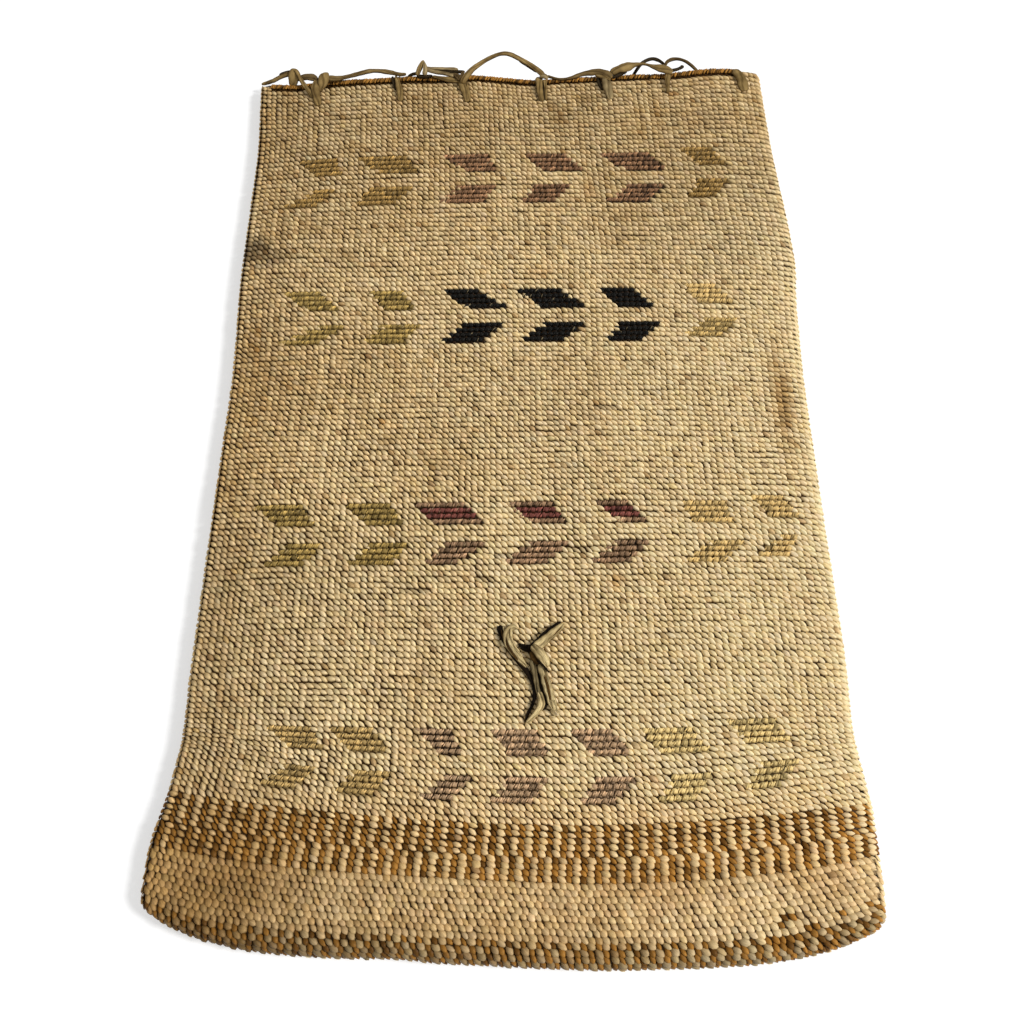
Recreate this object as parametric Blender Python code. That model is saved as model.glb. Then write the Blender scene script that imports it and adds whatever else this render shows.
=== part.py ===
# A twined corn husk flat bag with a hide lacing along its mouth, lying on its back.
# Metres, +Z up, +Y towards the mouth. The origin is on the table, under the middle of the length.
import math

import bmesh
import bpy
import numpy as np
from mathutils import Vector

# The bag
LENGTH = 0.518  # mouth to base, along the middle
WIDTH = 0.317  # the mean width
THICKNESS = 0.014  # both walls and the slack between them
WALL = 0.0027  # one twined wall
RIDGE = 0.0007  # how deep the valley between two rows of twining is
ROWS = 164  # rows of twining from mouth to base
END_SHARE = 0.97  # the thickness at the mouth and the base, against the middle's
BASE_FOLD = 0.007  # how far from the base the fold starts to round off
BASE_SHARE = 0.2  # what is left of the thickness at the very base
POUCH_STEPS = 12  # rings along the pouch's hollow
FOLD_HEIGHT = 0.42  # where a fold's middle lies, as a share of the thickness
POUCH_END = 0.008  # the solid fold between the pouch's end and the base
REST_HALF = 0.0035  # half the length of the stretch at the origin that lies pressed flat
GAP = 0.0003  # between pieces that touch

# Half the section, from the middle of the underside out to the fold and back over the front:
# share of the half width, share of the thickness, and which way is out.
HALF_SECTION = [
    (0.00, 0.00, 0.0, -1.0),
    (0.60, 0.00, 0.0, -1.0),
    (0.965, 0.00, 0.4, -1.0),
    (1.00, 0.45, 1.0, 0.0),
    (0.95, 0.76, 0.45, 0.9),
    (0.60, 0.95, 0.08, 1.0),
    (0.00, 1.00, 0.0, 1.0),
]

# Along the bag, as shares of its length from the mouth:
# the left and right half widths, as shares of half the mean width.
LEFT_SIDE = [(0, 1.033), (0.12, 1.008), (0.29, 1.005), (0.45, 0.981), (0.6, 0.984), (0.75, 0.982),
             (0.83, 0.978), (0.89, 0.998), (0.95, 1.032), (0.978, 1.027), (0.99, 0.997), (1, 0.933)]
RIGHT_SIDE = [(0, 0.99), (0.12, 0.998), (0.28, 1.023), (0.35, 1.004), (0.47, 0.991), (0.6, 0.99),
              (0.73, 0.992), (0.82, 0.984), (0.9, 1.006), (0.96, 1.007), (0.978, 0.999), (0.99, 0.987),
              (1, 0.958)]
# how far a row climbs towards the mouth, from the middle to the right edge, and falls to the left
TILT = 0.0055
TILT_SHARES = [(0, 1), (0.13, 0.82), (0.33, 0.27), (0.59, 0.36), (0.8, 0.09), (0.89, -0.55), (1, -0.33)]
# how far both ends of a row are drawn up towards the mouth, and how late in the width that sets in
BOW = 0.016
BOW_SHARES = [(0, 0), (0.76, 0), (0.81, 0.25), (0.855, 0.69), (0.89, 0.78), (1, 1)]
BOW_POWERS = [(0, 2.2), (0.9, 2.2), (1, 5)]
# how the mouth's edge waves from the left corner to the right one, and how fast that fades downwards
WAVE = 0.0045
WAVE_SHARES = [(-1, -0.5), (-0.6, -0.13), (0, -1), (0.6, -0.6), (1, 0.33)]
WAVE_FADE = 0.04
# the height of a row, against the mean row
ROW_PITCH = [(0, 1.19), (0.12, 1.17), (0.3, 1.14), (0.38, 1.03), (0.5, 0.99), (0.6, 0.94), (0.86, 0.93),
             (0.92, 0.84), (1, 0.8)]
# the rows twined in brown and pale husk, as shares of the length
BROWN_BANDS = [(0.886, 0.932), (0.982, 1.0)]

# The binding over the mouth's edge
BINDING_RADIUS = 0.0013
BINDING_STEPS = 7  # points along each half of a wall

# The hide lacing
THONG_RADIUS = 0.0013
THONG_STEP = 0.005  # between the points of a thong
BACK_THONG_RADIUS = 0.001  # the thinner one on the back wall
HOLE_RADIUS = 0.0024
# each hole in the front wall: share of the half width, distance from the mouth
LACE_HOLES = [(-0.775, 0.020), (-0.459, 0.020), (-0.181, 0.022), (0.107, 0.021), (0.378, 0.0195),
              (0.62, 0.019), (0.929, 0.0165)]
HOLE_ABOVE = 0.0027  # how far a hole's cutter reaches over the front wall's face
HOLE_BELOW = 0.0043  # and under it, short of the back wall
LEG_END = 3  # a thong's leg turns in at its hole this many radii before the hole's middle
LEG_TURN = 0.6
LEG_SHIFT = 0.0042  # how far a thong's inner leg lies beside its outer leg at the mouth
ON_FRONT = GAP + THONG_RADIUS  # a thong's middle above the wall that it lies on
ROUND_RIM = 2 * BINDING_RADIUS + 3 * GAP + THONG_RADIUS  # a thong's middle beyond the mouth's edge

# The tie on the front
TIE_AT = (0.068, 0.382)  # share of the half width, distance from the mouth
TIE_KNOT = (0.0046, 0.0052, 0.0027)  # half sizes of the knot
TIE_UPPER = 0.0014
TIE_LOWER = 0.0017
TIE_STEP = 0.0065
TIE_ROOT = 0.0013

MM = 0.001
WELD = 0.00001


def smooth(stations, at):
    """The value at a place, on a smooth line through (place, value) stations."""
    places = [p for p, _ in stations]
    values = [v for _, v in stations]
    at = min(max(at, places[0]), places[-1])
    k = min(max(int(np.searchsorted(places, at)) - 1, 0), len(places) - 2)
    chord = [(values[i + 1] - values[i]) / (places[i + 1] - places[i]) for i in range(len(places) - 1)]
    slope = [chord[0]] + [0.0 if a * b <= 0 else 2 * a * b / (a + b) for a, b in zip(chord, chord[1:])]
    slope.append(chord[-1])
    span = places[k + 1] - places[k]
    t = (at - places[k]) / span
    start, end = values[k], values[k + 1]
    return (start * (1 + 2 * t) * (1 - t) ** 2 + end * t * t * (3 - 2 * t)
            + span * (slope[k] * t * (1 - t) ** 2 - slope[k + 1] * t * t * (1 - t)))


def place_across(down, u):
    """x of the share u of the half width, at a distance down from the mouth."""
    share = down / LENGTH
    side = smooth(RIGHT_SIDE, share) if u > 0 else smooth(LEFT_SIDE, share)
    return u * side * WIDTH / 2


def place_along(down, u):
    """y of a row that lies at a distance down from the mouth in the middle."""
    share = down / LENGTH
    lift = TILT * smooth(TILT_SHARES, share) * u
    lift += BOW * smooth(BOW_SHARES, share) * abs(u) ** smooth(BOW_POWERS, share)
    lift += WAVE * float(np.interp(u, *zip(*WAVE_SHARES))) * math.exp(-max(down, 0) / WAVE_FADE)
    return LENGTH / 2 - down + lift


def thickness_at(down):
    """Both walls together, fuller in the middle of the length."""
    share = min(max(down / LENGTH, 0), 1)
    return THICKNESS * (END_SHARE + (1 - END_SHARE) * math.sin(math.pi * share))


def squeeze_at(down, end):
    """How much of the thickness is left near a fold that closes at the distance end."""
    left = min(max((end - down) / BASE_FOLD, 0), 1)
    return max(math.sqrt(1 - (1 - left) ** 2), BASE_SHARE)


def front_height(down, u):
    """z of the front wall's outer face."""
    shares = [row[0] for row in HALF_SECTION[3:]][::-1]
    heights = [row[1] for row in HALF_SECTION[3:]][::-1]
    return thickness_at(down) * float(np.interp(abs(u), shares, heights))


def full_section():
    """The whole section's points, once round."""
    left = [(-u, z, -out_x, out_z) for u, z, out_x, out_z in HALF_SECTION[1:-1]]
    return HALF_SECTION + left[::-1]


def ring(down, inset, end, flat_underside=False):
    """Once round the bag at a distance down from the mouth, inset from its outer face."""
    points = []
    thick = thickness_at(down)
    middle = FOLD_HEIGHT * thick
    squeeze = squeeze_at(down, end)
    for u, z_share, out_x, out_z in full_section():
        x = place_across(down, u) - inset * out_x
        pressed = flat_underside and z_share == 0
        z = z_share * thick - (0 if pressed else inset * out_z)
        points.append((x, place_along(down, u), middle + (z - middle) * squeeze))
    return points


def row_edges():
    """The distances from the mouth at which the rows of twining meet."""
    heights = [smooth(ROW_PITCH, (i + 0.5) / ROWS) for i in range(ROWS)]
    total = sum(heights)
    return [LENGTH * sum(heights[:i]) / total for i in range(ROWS + 1)]


def cap(bm, loop):
    """Closes a ring with strips from its underside to its front, so that a waving edge stays true."""
    half = len(loop) // 2
    for i in range(half // 2):
        right = [loop[i], loop[i + 1], loop[half - i - 1], loop[half - i]]
        left = [loop[-i], loop[-i - 1], loop[half + i + 1], loop[half + i]]
        for corners in (right, left):
            bm.faces.new(dict.fromkeys(corners))


def loft(name, rings):
    """A closed mesh through rings of as many points each, with a cap on both ends."""
    mesh = bpy.data.meshes.new(name)
    bm = bmesh.new()
    loops = [[bm.verts.new(p) for p in points] for points in rings]
    count = len(loops[0])
    for a, b in zip(loops, loops[1:]):
        for i in range(count):
            j = (i + 1) % count
            bm.faces.new((a[i], a[j], b[j], b[i]))
    cap(bm, loops[0])
    cap(bm, loops[-1])
    bmesh.ops.recalc_face_normals(bm, faces=bm.faces)
    bm.to_mesh(mesh)
    bm.free()
    return bpy.data.objects.new(name, mesh)


def material(name, colour, roughness=0.85):
    made = bpy.data.materials.new(name)
    made.use_nodes = True
    shader = made.node_tree.nodes["Principled BSDF"]
    shader.inputs["Base Color"].default_value = (*colour, 1)
    shader.inputs["Roughness"].default_value = roughness
    shader.inputs["Metallic"].default_value = 0.0
    return made


def put_in(collection, obj):
    for old in obj.users_collection:
        old.objects.unlink(obj)
    collection.objects.link(obj)
    return obj


def make_cutter(obj, cutters):
    obj.hide_render = True
    obj.display_type = "WIRE"
    return put_in(cutters, obj)


def add_boolean(obj, other, operation):
    step = obj.modifiers.new(other.name, "BOOLEAN")
    step.operation = operation
    step.solver = "EXACT"
    step.object = other


def on_front(u, down, above, aside=0.0):
    """A point over the front wall: above 0 is on its face, and down below 0 is beyond the mouth."""
    x = place_across(down, u) + aside
    return Vector((x, place_along(down, u), front_height(down, u) + above))


def on_back(u, down, above):
    """A point at a height above the table, where the back wall's outer face lies."""
    return Vector((place_across(down, u), place_along(down, u), above))


def smooth_path(points, step):
    """Points about a step apart, on a smooth curve through the given ones."""
    ends = [points[0] * 2 - points[1]] + list(points) + [points[-1] * 2 - points[-2]]
    path = []
    for before, a, b, after in zip(ends, ends[1:], ends[2:], ends[3:]):
        parts = max(1, round((b - a).length / step))
        for i in range(parts):
            t = i / parts
            path.append(0.5 * (2 * a + (b - before) * t + (2 * before - 5 * a + 4 * b - after) * t ** 2
                               + (3 * a - before - 3 * b + after) * t ** 3))
    return path + [points[-1]]


def tube(name, points, radius, step, collection):
    """A round strip along a smooth curve through the points."""
    path = smooth_path(points, step)
    curve = bpy.data.curves.new(name, "CURVE")
    curve.dimensions = "3D"
    curve.bevel_depth = radius
    curve.bevel_resolution = 2
    curve.use_fill_caps = True
    spline = curve.splines.new("POLY")
    spline.points.add(len(path) - 1)
    for point, place in zip(spline.points, path):
        point.co = (*place, 1)
    obj = bpy.data.objects.new(name, curve)
    collection.objects.link(obj)
    return obj


def as_mesh(obj):
    """The same object as a mesh, with its caps welded on."""
    bpy.context.view_layer.update()
    evaluated = obj.evaluated_get(bpy.context.evaluated_depsgraph_get())
    mesh = bpy.data.meshes.new_from_object(evaluated)
    bm = bmesh.new()
    bm.from_mesh(mesh)
    bmesh.ops.remove_doubles(bm, verts=bm.verts, dist=WELD)
    bmesh.ops.recalc_face_normals(bm, faces=bm.faces)
    bm.to_mesh(mesh)
    bm.free()
    name, collection = obj.name, obj.users_collection[0]
    made = bpy.data.objects.new(name + "_mesh", mesh)
    made.matrix_world = obj.matrix_world
    bpy.data.objects.remove(obj)
    made.name = name
    collection.objects.link(made)
    return made


def bag_body(parts, cutters, husk, brown):
    """The pouch: front, back, sides and base, twined in one, with a ridge for each row."""
    edges = row_edges()
    rings = []
    for i in range(ROWS):
        for down, inset in ((edges[i], RIDGE), ((edges[i] + edges[i + 1]) / 2, 0.0)):
            pressed = abs(LENGTH / 2 - down) < REST_HALF
            rings.append(ring(down, inset, LENGTH, pressed))
    rings.append(ring(LENGTH, RIDGE, LENGTH))
    body = loft("bag_body", rings)
    body.data.materials.append(husk)
    body.data.materials.append(brown)
    around = len(full_section())
    for index, face in enumerate(body.data.polygons):
        share = edges[min(index // (2 * around), ROWS)] / LENGTH
        face.material_index = int(any(start <= share < end for start, end in BROWN_BANDS))
    parts.objects.link(body)

    pouch_end = LENGTH - POUCH_END
    outside = ROUND_RIM + THONG_RADIUS
    stops = [-outside] + [pouch_end * i / POUCH_STEPS for i in range(POUCH_STEPS)]
    stops += [pouch_end - BASE_FOLD, pouch_end - BASE_FOLD / 4, pouch_end]
    hollow = loft("pouch_hollow", [ring(down, WALL, pouch_end) for down in stops])
    add_boolean(body, make_cutter(hollow, cutters), "DIFFERENCE")
    add_boolean(body, lacing_holes(cutters), "DIFFERENCE")
    return body


def lacing_holes(cutters):
    """Upright pins through the front wall only: one for each hole, and one under the tie."""
    bm = bmesh.new()
    for u, down in LACE_HOLES + [TIE_AT]:
        top = on_front(u, down, HOLE_ABOVE)
        bottom = on_front(u, down, -HOLE_BELOW)
        made = bmesh.ops.create_cone(bm, cap_ends=True, segments=10, radius1=HOLE_RADIUS,
                                     radius2=HOLE_RADIUS, depth=top.z - bottom.z)
        bmesh.ops.translate(bm, verts=made["verts"], vec=(top + bottom) / 2)
    mesh = bpy.data.meshes.new("lacing_holes")
    bm.to_mesh(mesh)
    bm.free()
    return make_cutter(bpy.data.objects.new("lacing_holes", mesh), cutters)


def rim_binding(parts, look):
    """One ring of overcast husk round the mouth's edge, over the front wall and the back wall."""
    away = GAP + BINDING_RADIUS
    corners = [Vector(p) for p in ring(0, WALL / 2, LENGTH)]
    closed = corners + [corners[0]]
    path = []
    for a, b in zip(closed, closed[1:]):
        parts_here = max(1, round(BINDING_STEPS * (b - a).length / (WIDTH / 2)))
        path += [a.lerp(b, i / parts_here) for i in range(parts_here)]
    curve = bpy.data.curves.new("rim_binding", "CURVE")
    curve.dimensions = "3D"
    curve.bevel_depth = BINDING_RADIUS
    curve.bevel_resolution = 2
    spline = curve.splines.new("POLY")
    spline.points.add(len(path) - 1)
    for point, place in zip(spline.points, path):
        point.co = (place.x, place.y + away, place.z, 1)
    spline.use_cyclic_u = True
    obj = bpy.data.objects.new("rim_binding", curve)
    curve.materials.append(look)
    parts.objects.link(obj)
    return obj


def hitch(hole):
    """A thong over the mouth's edge, down the front, in at a hole and back up inside to the mouth."""
    u, drop = LACE_HOLES[hole]
    inner = -WALL - GAP - THONG_RADIUS
    outer_leg = [on_front(u, -ROUND_RIM, ON_FRONT / 2, -LEG_SHIFT / 2),
                 on_front(u, 0, ON_FRONT + 2 * GAP, -LEG_SHIFT / 2),
                 on_front(u, drop / 2, ON_FRONT + GAP),
                 on_front(u, drop - LEG_END * THONG_RADIUS, ON_FRONT + GAP)]
    through = [on_front(u, drop - LEG_TURN * THONG_RADIUS, ON_FRONT - 2 * GAP),
               on_front(u, drop, -WALL / 2),
               on_front(u, drop - LEG_TURN * THONG_RADIUS, inner + 2 * GAP)]
    inner_leg = [on_front(u, drop - LEG_END * THONG_RADIUS, inner - GAP),
                 on_front(u, drop / 2, inner - GAP, LEG_SHIFT / 2),
                 on_front(u, 0, inner - 2 * GAP, LEG_SHIFT),
                 on_front(u, -ROUND_RIM, inner + 2 * GAP, LEG_SHIFT)]
    return outer_leg + through + inner_leg


def beyond(*spots):
    """Points of a strand past the mouth: share of the half width, mm beyond it, mm over the front."""
    return [on_front(u, -out * MM, above * MM) for u, out, above in spots]


def thongs(parts, look, dark_look):
    """The hide lacing, in the pieces that it is knotted from, from left to right."""
    start_left = beyond((-1.0, 0.5, 4.5), (-0.96, 5, 4), (-0.915, 10, 2.5), (-0.88, 8, 3.5),
                        (-0.84, 3, 3.5))
    between = beyond((-0.735, 6, -3), (-0.7, 6.5, 0.5), (-0.6, 8.5, 2.5), (-0.51, 7, 2.5))
    runs = {
        "thong_left": start_left + hitch(0)[1:] + between + hitch(1)[1:-1],
        "thong_bight": beyond((-0.4, -6, -4.8), (-0.397, 1, -4.9), (-0.395, 5.2, -4), (-0.385, 10, 0),
                              (-0.37, 15, 4), (-0.345, 15, 5), (-0.32, 11.5, 4), (-0.26, 8.5, 3),
                              (-0.22, 6.5, 2.5)),
        "thong_middle": hitch(2) + beyond((-0.165, 6, -2), (-0.15, 9, 2.5), (-0.1, 17, 6), (-0.04, 23, 8),
                                          (0.02, 20, 7.5), (0.07, 12, 5)) + hitch(3)[1:-1],
        "thong_right": beyond((0.155, 5, 1), (0.2, 5, 1.5), (0.27, 6, 2.5), (0.33, 6, 3)) + hitch(4)[1:]
                       + beyond((0.42, 7, -1.5), (0.45, 10, 2.5), (0.51, 12, 4), (0.57, 9, 4))
                       + hitch(5)[1:-1],
        "thong_corner": hitch(6)[:-2],
    }
    for name, points in runs.items():
        tube(name, points, THONG_RADIUS, THONG_STEP, parts).data.materials.append(look)
    over_back = WALL + 2 * GAP + BACK_THONG_RADIUS
    loop = ([on_back(0.47, 0.006, over_back), on_back(0.472, -0.004, over_back)]
            + beyond((0.5, 9, -4), (0.55, 13.5, 1.5), (0.61, 13.5, 1), (0.67, 9, -4))
            + [on_back(0.7, -0.003, over_back), on_back(0.705, 0.006, over_back)])
    tube("thong_back", loop, BACK_THONG_RADIUS, THONG_STEP, parts).data.materials.append(dark_look)


def front_tie(parts, cutters, look):
    """A knotted thong on the front, with four loose ends and a root through the wall."""
    u, down = TIE_AT
    lower, upper = GAP + TIE_LOWER, GAP + TIE_UPPER
    knot_up = GAP + TIE_KNOT[2]

    def spot(aside, along, above):
        return on_front(u, down + along * MM, above, aside * MM)

    arms = [
        ("tie_upper_left", TIE_UPPER, [spot(0, 0, knot_up), spot(-6, -6, upper), spot(-12, -10, upper),
                                       spot(-17, -16, upper * 2)]),
        ("tie_upper_right", TIE_UPPER, [spot(0, 0, knot_up), spot(4, -7, upper), spot(12, -15, upper * 2)]),
        ("tie_lower_right", TIE_LOWER, [spot(0, 0, knot_up), spot(3, 8, lower), spot(5, 20, lower),
                                        spot(6.5, 29, lower)]),
        ("tie_lower_left", TIE_LOWER, [spot(0, 0, knot_up), spot(-2.5, 12, lower + GAP),
                                       spot(-3.5, 24, lower), spot(-8, 33, lower)]),
        ("tie_root", TIE_ROOT, [spot(0, 0, knot_up), spot(0, 0, 0), spot(0, 0, -WALL)]),
    ]
    mesh = bpy.data.meshes.new("front_tie")
    bm = bmesh.new()
    bmesh.ops.create_uvsphere(bm, u_segments=10, v_segments=6, radius=1)
    bmesh.ops.scale(bm, vec=TIE_KNOT, verts=bm.verts)
    bmesh.ops.translate(bm, vec=spot(0, 0, knot_up), verts=bm.verts)
    bm.to_mesh(mesh)
    bm.free()
    tie = bpy.data.objects.new("front_tie", mesh)
    mesh.materials.append(look)
    parts.objects.link(tie)
    for name, radius, points in arms:
        arm = as_mesh(tube(name, points, radius, TIE_STEP, cutters))
        add_boolean(tie, make_cutter(arm, cutters), "UNION")
    return tie


def main():
    for old in list(bpy.data.objects):
        bpy.data.objects.remove(old)
    parts = bpy.data.collections.new("corn_husk_flat_bag")
    cutters = bpy.data.collections.new("cutters")
    for collection in (parts, cutters):
        bpy.context.scene.collection.children.link(collection)
    husk = material("corn_husk", (0.46, 0.34, 0.17))
    brown = material("brown_husk", (0.27, 0.13, 0.045))
    binding = material("binding_husk", (0.22, 0.11, 0.04))
    hide = material("hide_thong", (0.22, 0.17, 0.09), 0.7)
    dark_hide = material("dark_hide", (0.06, 0.05, 0.035), 0.7)
    pale_hide = material("pale_hide", (0.38, 0.29, 0.16), 0.7)

    bag_body(parts, cutters, husk, brown)
    rim_binding(parts, binding)
    thongs(parts, hide, dark_hide)
    front_tie(parts, cutters, pale_hide)


main()
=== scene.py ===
import math

import bpy
import numpy as np
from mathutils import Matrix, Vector


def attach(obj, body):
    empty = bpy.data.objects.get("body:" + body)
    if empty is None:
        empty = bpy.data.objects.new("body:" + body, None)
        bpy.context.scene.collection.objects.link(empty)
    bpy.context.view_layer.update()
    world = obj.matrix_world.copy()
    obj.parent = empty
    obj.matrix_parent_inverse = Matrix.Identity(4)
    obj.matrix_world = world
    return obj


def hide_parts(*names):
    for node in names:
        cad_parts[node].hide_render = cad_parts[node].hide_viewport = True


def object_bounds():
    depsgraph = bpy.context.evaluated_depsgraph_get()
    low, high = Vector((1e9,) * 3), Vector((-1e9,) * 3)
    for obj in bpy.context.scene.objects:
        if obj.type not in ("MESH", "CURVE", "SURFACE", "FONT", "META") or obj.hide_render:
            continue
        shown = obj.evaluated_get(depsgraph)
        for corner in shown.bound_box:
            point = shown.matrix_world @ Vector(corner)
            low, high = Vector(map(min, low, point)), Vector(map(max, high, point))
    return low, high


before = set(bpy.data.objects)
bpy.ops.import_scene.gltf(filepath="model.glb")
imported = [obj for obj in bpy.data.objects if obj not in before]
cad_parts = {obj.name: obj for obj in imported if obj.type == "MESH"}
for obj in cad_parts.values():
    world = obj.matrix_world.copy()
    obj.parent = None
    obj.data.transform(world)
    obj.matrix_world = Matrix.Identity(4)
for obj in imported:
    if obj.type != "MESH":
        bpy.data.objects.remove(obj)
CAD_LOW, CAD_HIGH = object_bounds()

MM = 0.001

# The bag's form, as in the CAD source
LENGTH = 0.518
WIDTH = 0.317
THICKNESS = 0.014
WALL = 0.0027
END_SHARE = 0.97
BASE_FOLD = 0.007
FOLD_HEIGHT = 0.45
LEFT_SIDE = [(0, 1.033), (0.12, 1.008), (0.29, 1.005), (0.45, 0.981), (0.6, 0.984), (0.75, 0.982),
             (0.83, 0.978), (0.89, 0.998), (0.95, 1.032), (0.978, 1.033), (0.99, 1.02), (1, 0.975)]
RIGHT_SIDE = [(0, 0.99), (0.12, 0.998), (0.28, 1.023), (0.35, 1.004), (0.47, 0.991), (0.6, 0.99),
              (0.73, 0.992), (0.82, 0.984), (0.9, 1.006), (0.96, 1.007), (0.978, 1.003), (0.99, 0.998),
              (1, 0.98)]
TILT = 0.0055
TILT_SHARES = [(0, 1), (0.13, 0.82), (0.33, 0.27), (0.59, 0.36), (0.8, 0.09), (0.89, -0.55), (1, -0.33)]
BOW = 0.016
BOW_SHARES = [(0, 0), (0.76, 0), (0.81, 0.25), (0.855, 0.69), (0.89, 0.78), (1, 1)]
BOW_POWERS = [(0, 2.2), (0.9, 2.2), (1, 5)]
ROW_PITCH = [(0, 1.19), (0.1, 1.17), (0.18, 1.11), (0.3, 1.12), (0.38, 1.02), (0.5, 1.0), (0.62, 0.99),
             (0.7, 0.93), (0.79, 0.99), (0.86, 0.95), (0.9, 0.86), (0.94, 0.83), (1, 0.84)]
MEAN_PITCH = LENGTH / 164
COLUMNS = 100  # stitches across each wall, from fold to fold
MIDDLE_CROWDING = 0.04  # the stitches are finer in the middle of the wall than at its folds
FRONT_POWER, FRONT_ROUND = 2.5, 0.285  # the crown of the front wall
BACK_POWER, BACK_ROUND = 60.0, 0.35  # the flat back wall with its tight fold
# how far the mouth's edge waves, in mm at shares of the half width, and how fast that fades downwards
RIM_WAVE = [(-1, 2.5), (-0.93, -1.4), (-0.85, -3.2), (-0.73, -1.1), (-0.61, -0.5), (-0.42, -0.3),
            (-0.3, -2.0), (-0.17, -1.6), (-0.05, -4.0), (0.08, -6.6), (0.23, -5.6), (0.35, -5.0),
            (0.45, -3.7), (0.6, -2.8), (0.71, -0.3), (0.81, 1.4), (0.91, 1.5), (1, 1.5)]
RIM_FADE = 0.04
# the same at the base, in mm upwards
BASE_WAVE = [(-1, 0.5), (-0.85, 1.2), (-0.6, 2), (-0.35, 2.4), (-0.2, 1), (0, 0), (0.2, -0.8), (0.45, 0),
             (1, 0.8)]
BASE_FADE = 0.05
# the slow swell of the front wall: its height, and each wave's share, two wave numbers and phase
SWELL = 0.00035
SWELL_WAVES = [(1, 31, 9, 0), (1, -13, 27, 1.7), (0.6, 67, 41, 0)]
SWELL_POWER = 6  # how near to the folds it reaches
SECTION_POINTS = 361  # of the wall's section, along which the columns are spread
FOLD_RADIUS = (BASE_FOLD + FOLD_HEIGHT * THICKNESS) / 2
ROW_END = LENGTH - BASE_FOLD + FOLD_RADIUS * math.pi / 2  # the rows' way over the base fold to its middle
LOWEST = 0.0001  # the underside lies pressed flat just over the table
BACKING = 0.0012  # how far the dark ground between the stitches lies below the wall's face
WELD_REACH = 0.00002  # closes the ground where its faces meet

# The stitches. Each is a leaf-shaped bead: its height, how deep it sits, how far the end that laps over
# the next one is raised, and the shares by which that end is broader, and paler by painted light, while
# the end tucked under the last one is darker by painted shade
BEAD_HEIGHT = 0.00125
BEAD_SINK = 0.00095
BEAD_LEAN = 0.0006
BEAD_EGG = 0.16
BEAD_PAINTED_LIGHT = 0.34
# its two rings: size, shift towards the lapping end, height and shade, and its top without a size. These
# shades are painted: painted shade round the bead's foot, in the crevices between the stitches, and a
# little painted light on its top
BEAD_RINGS = [(1, 0, -0.35, 0.25), (0.76, 0.03, 0.68, 0.96)]
BEAD_TOP = (0.12, 1, 1.04)
LEAF_POWER = 0.6  # how pointed it is
SHADE_POWERS = [1, 1.09, 1.36]  # where husk is shaded, it is warmer too
GRAIN_ALONG, GRAIN_ACROSS = 0.35, 1.4  # the fibres are longer than broad
GRAIN_SPREAD = 50  # how far apart the fibres of two strands are drawn
FRONT_SIDES, BACK_SIDES = 10, 5  # facets of a bead
FRONT_SEED, BACK_SEED = 21, 51
# how the brown stitches, the pale ones between them and the plain ones differ: turn in degrees, and
# factors of length, breadth and height
STITCH_KINDS = np.array([(8, 0.92, 0.82, 0.88), (-14, 1, 1.06, 1.15), (0, 1, 1, 1)])
BETWEEN, PLAIN = 1, 2
# how far they are turned in degrees, and how long and broad they are, in shares of their cell's diagonal
# and of its breadth across the diagonal, as patches down the wall
NEAR_FOLD = (0.88, 0.93)
STITCH_TURN = [(-6,), (3, ("down", 0.55, 0.7)), (9, ("down", *NEAR_FOLD))]
STITCH_LONG = [(0.67,), (-0.02, ("down", 0.32, 0.14)), (-0.045, ("down", *NEAR_FOLD))]
STITCH_SHORT = [(0.58,), (0.02, ("down", 0.55, 0.7)), (0.21, ("down", *NEAR_FOLD))]
# how much they differ one by one, and how much over a stretch of rows and columns
TURN_SPREAD, LONG_SPREAD, SHORT_SPREAD, HIGH_SPREAD, SEAT_SPREAD = 6, 0.07, 0.09, 0.09, 0.035
TURN_WANDER, FULL_WANDER, HIGH_WANDER, SEAT_WANDER = 4, 0.07, 0.12, 0.1
# near the base fold they are more uneven and flatter, and every second row is set aside
FOLD_SPREAD, FOLD_FLATTER, FOLD_ASIDE = 0.07, 0.32, 0.2
SIDE_FLATTER, SIDE_FROM = 0.5, (0.95, 1)
BOUND_HEIGHT = 0.2  # what is left of a stitch's height under the overcast edge
SLIP, SLIP_NARROWER, SLIP_DARKER = 0.16, 0.8, 0.75  # how far a slipped row goes, in shares of its height

# The band over the base: where it starts, and its rows before and after its columns change places.
# Brown stitches also stand in the last rows round the base, and stray below the band's right end.
BAND_START, BAND_UPPER, BAND_LOWER = 0.4605, 5, 4
BASE_BAND_ROWS = 5
STRAY_X, STRAY_Y, STRAY_ROW, STRAY_SHARE = 0.108, -0.213, 14, 0.22
DARK_SHARE = 0.25  # of the brown stitches
BROWN_SPREAD = (0.8, 1.25)
BROWN_TONE = [(0.88,), (-0.16, ("down", 0.945, 0.97))]
BROWN_PALER_TO_RIGHT = 0.24

# The false embroidery: wraps and their fibres
WRAP_PITCH = 0.0033
FIBRES = 3
WORN_SHARE = 0.04
WRAP_HEIGHT = 0.00125
WRAP_DEPTH = 0.0008  # how far the twining is pressed down under the wraps
WRAP_MARGIN = 0.0006  # the stitches pressed down end this far inside a stretch of wraps
WRAP_SIDES = 6
WRAP_SEED, FIBRE_SEED = 7, 70
# a wrap's puff and its fibres: turn in degrees, length and breadth in shares of the pitch, how far they
# are raised, and shade
PUFF_TURN, PUFF_LONG, PUFF_SHORT, PUFF_RAISED, PUFF_SHADE = -62, 0.49, 0.6, 0.0002, 0.75
FIBRE_TURN, FIBRE_LONG, FIBRE_SHORT, FIBRE_RAISED, FIBRE_SHADE = -52, 0.4, 0.15, 0.0005, 1.1
FIBRE_LONGER, FIBRE_HIGH, FIBRE_FAN, FIBRE_HUMP = 0.08, 0.92, 0.05, 0.2
WRAP_LIGHT = 1.04

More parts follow.
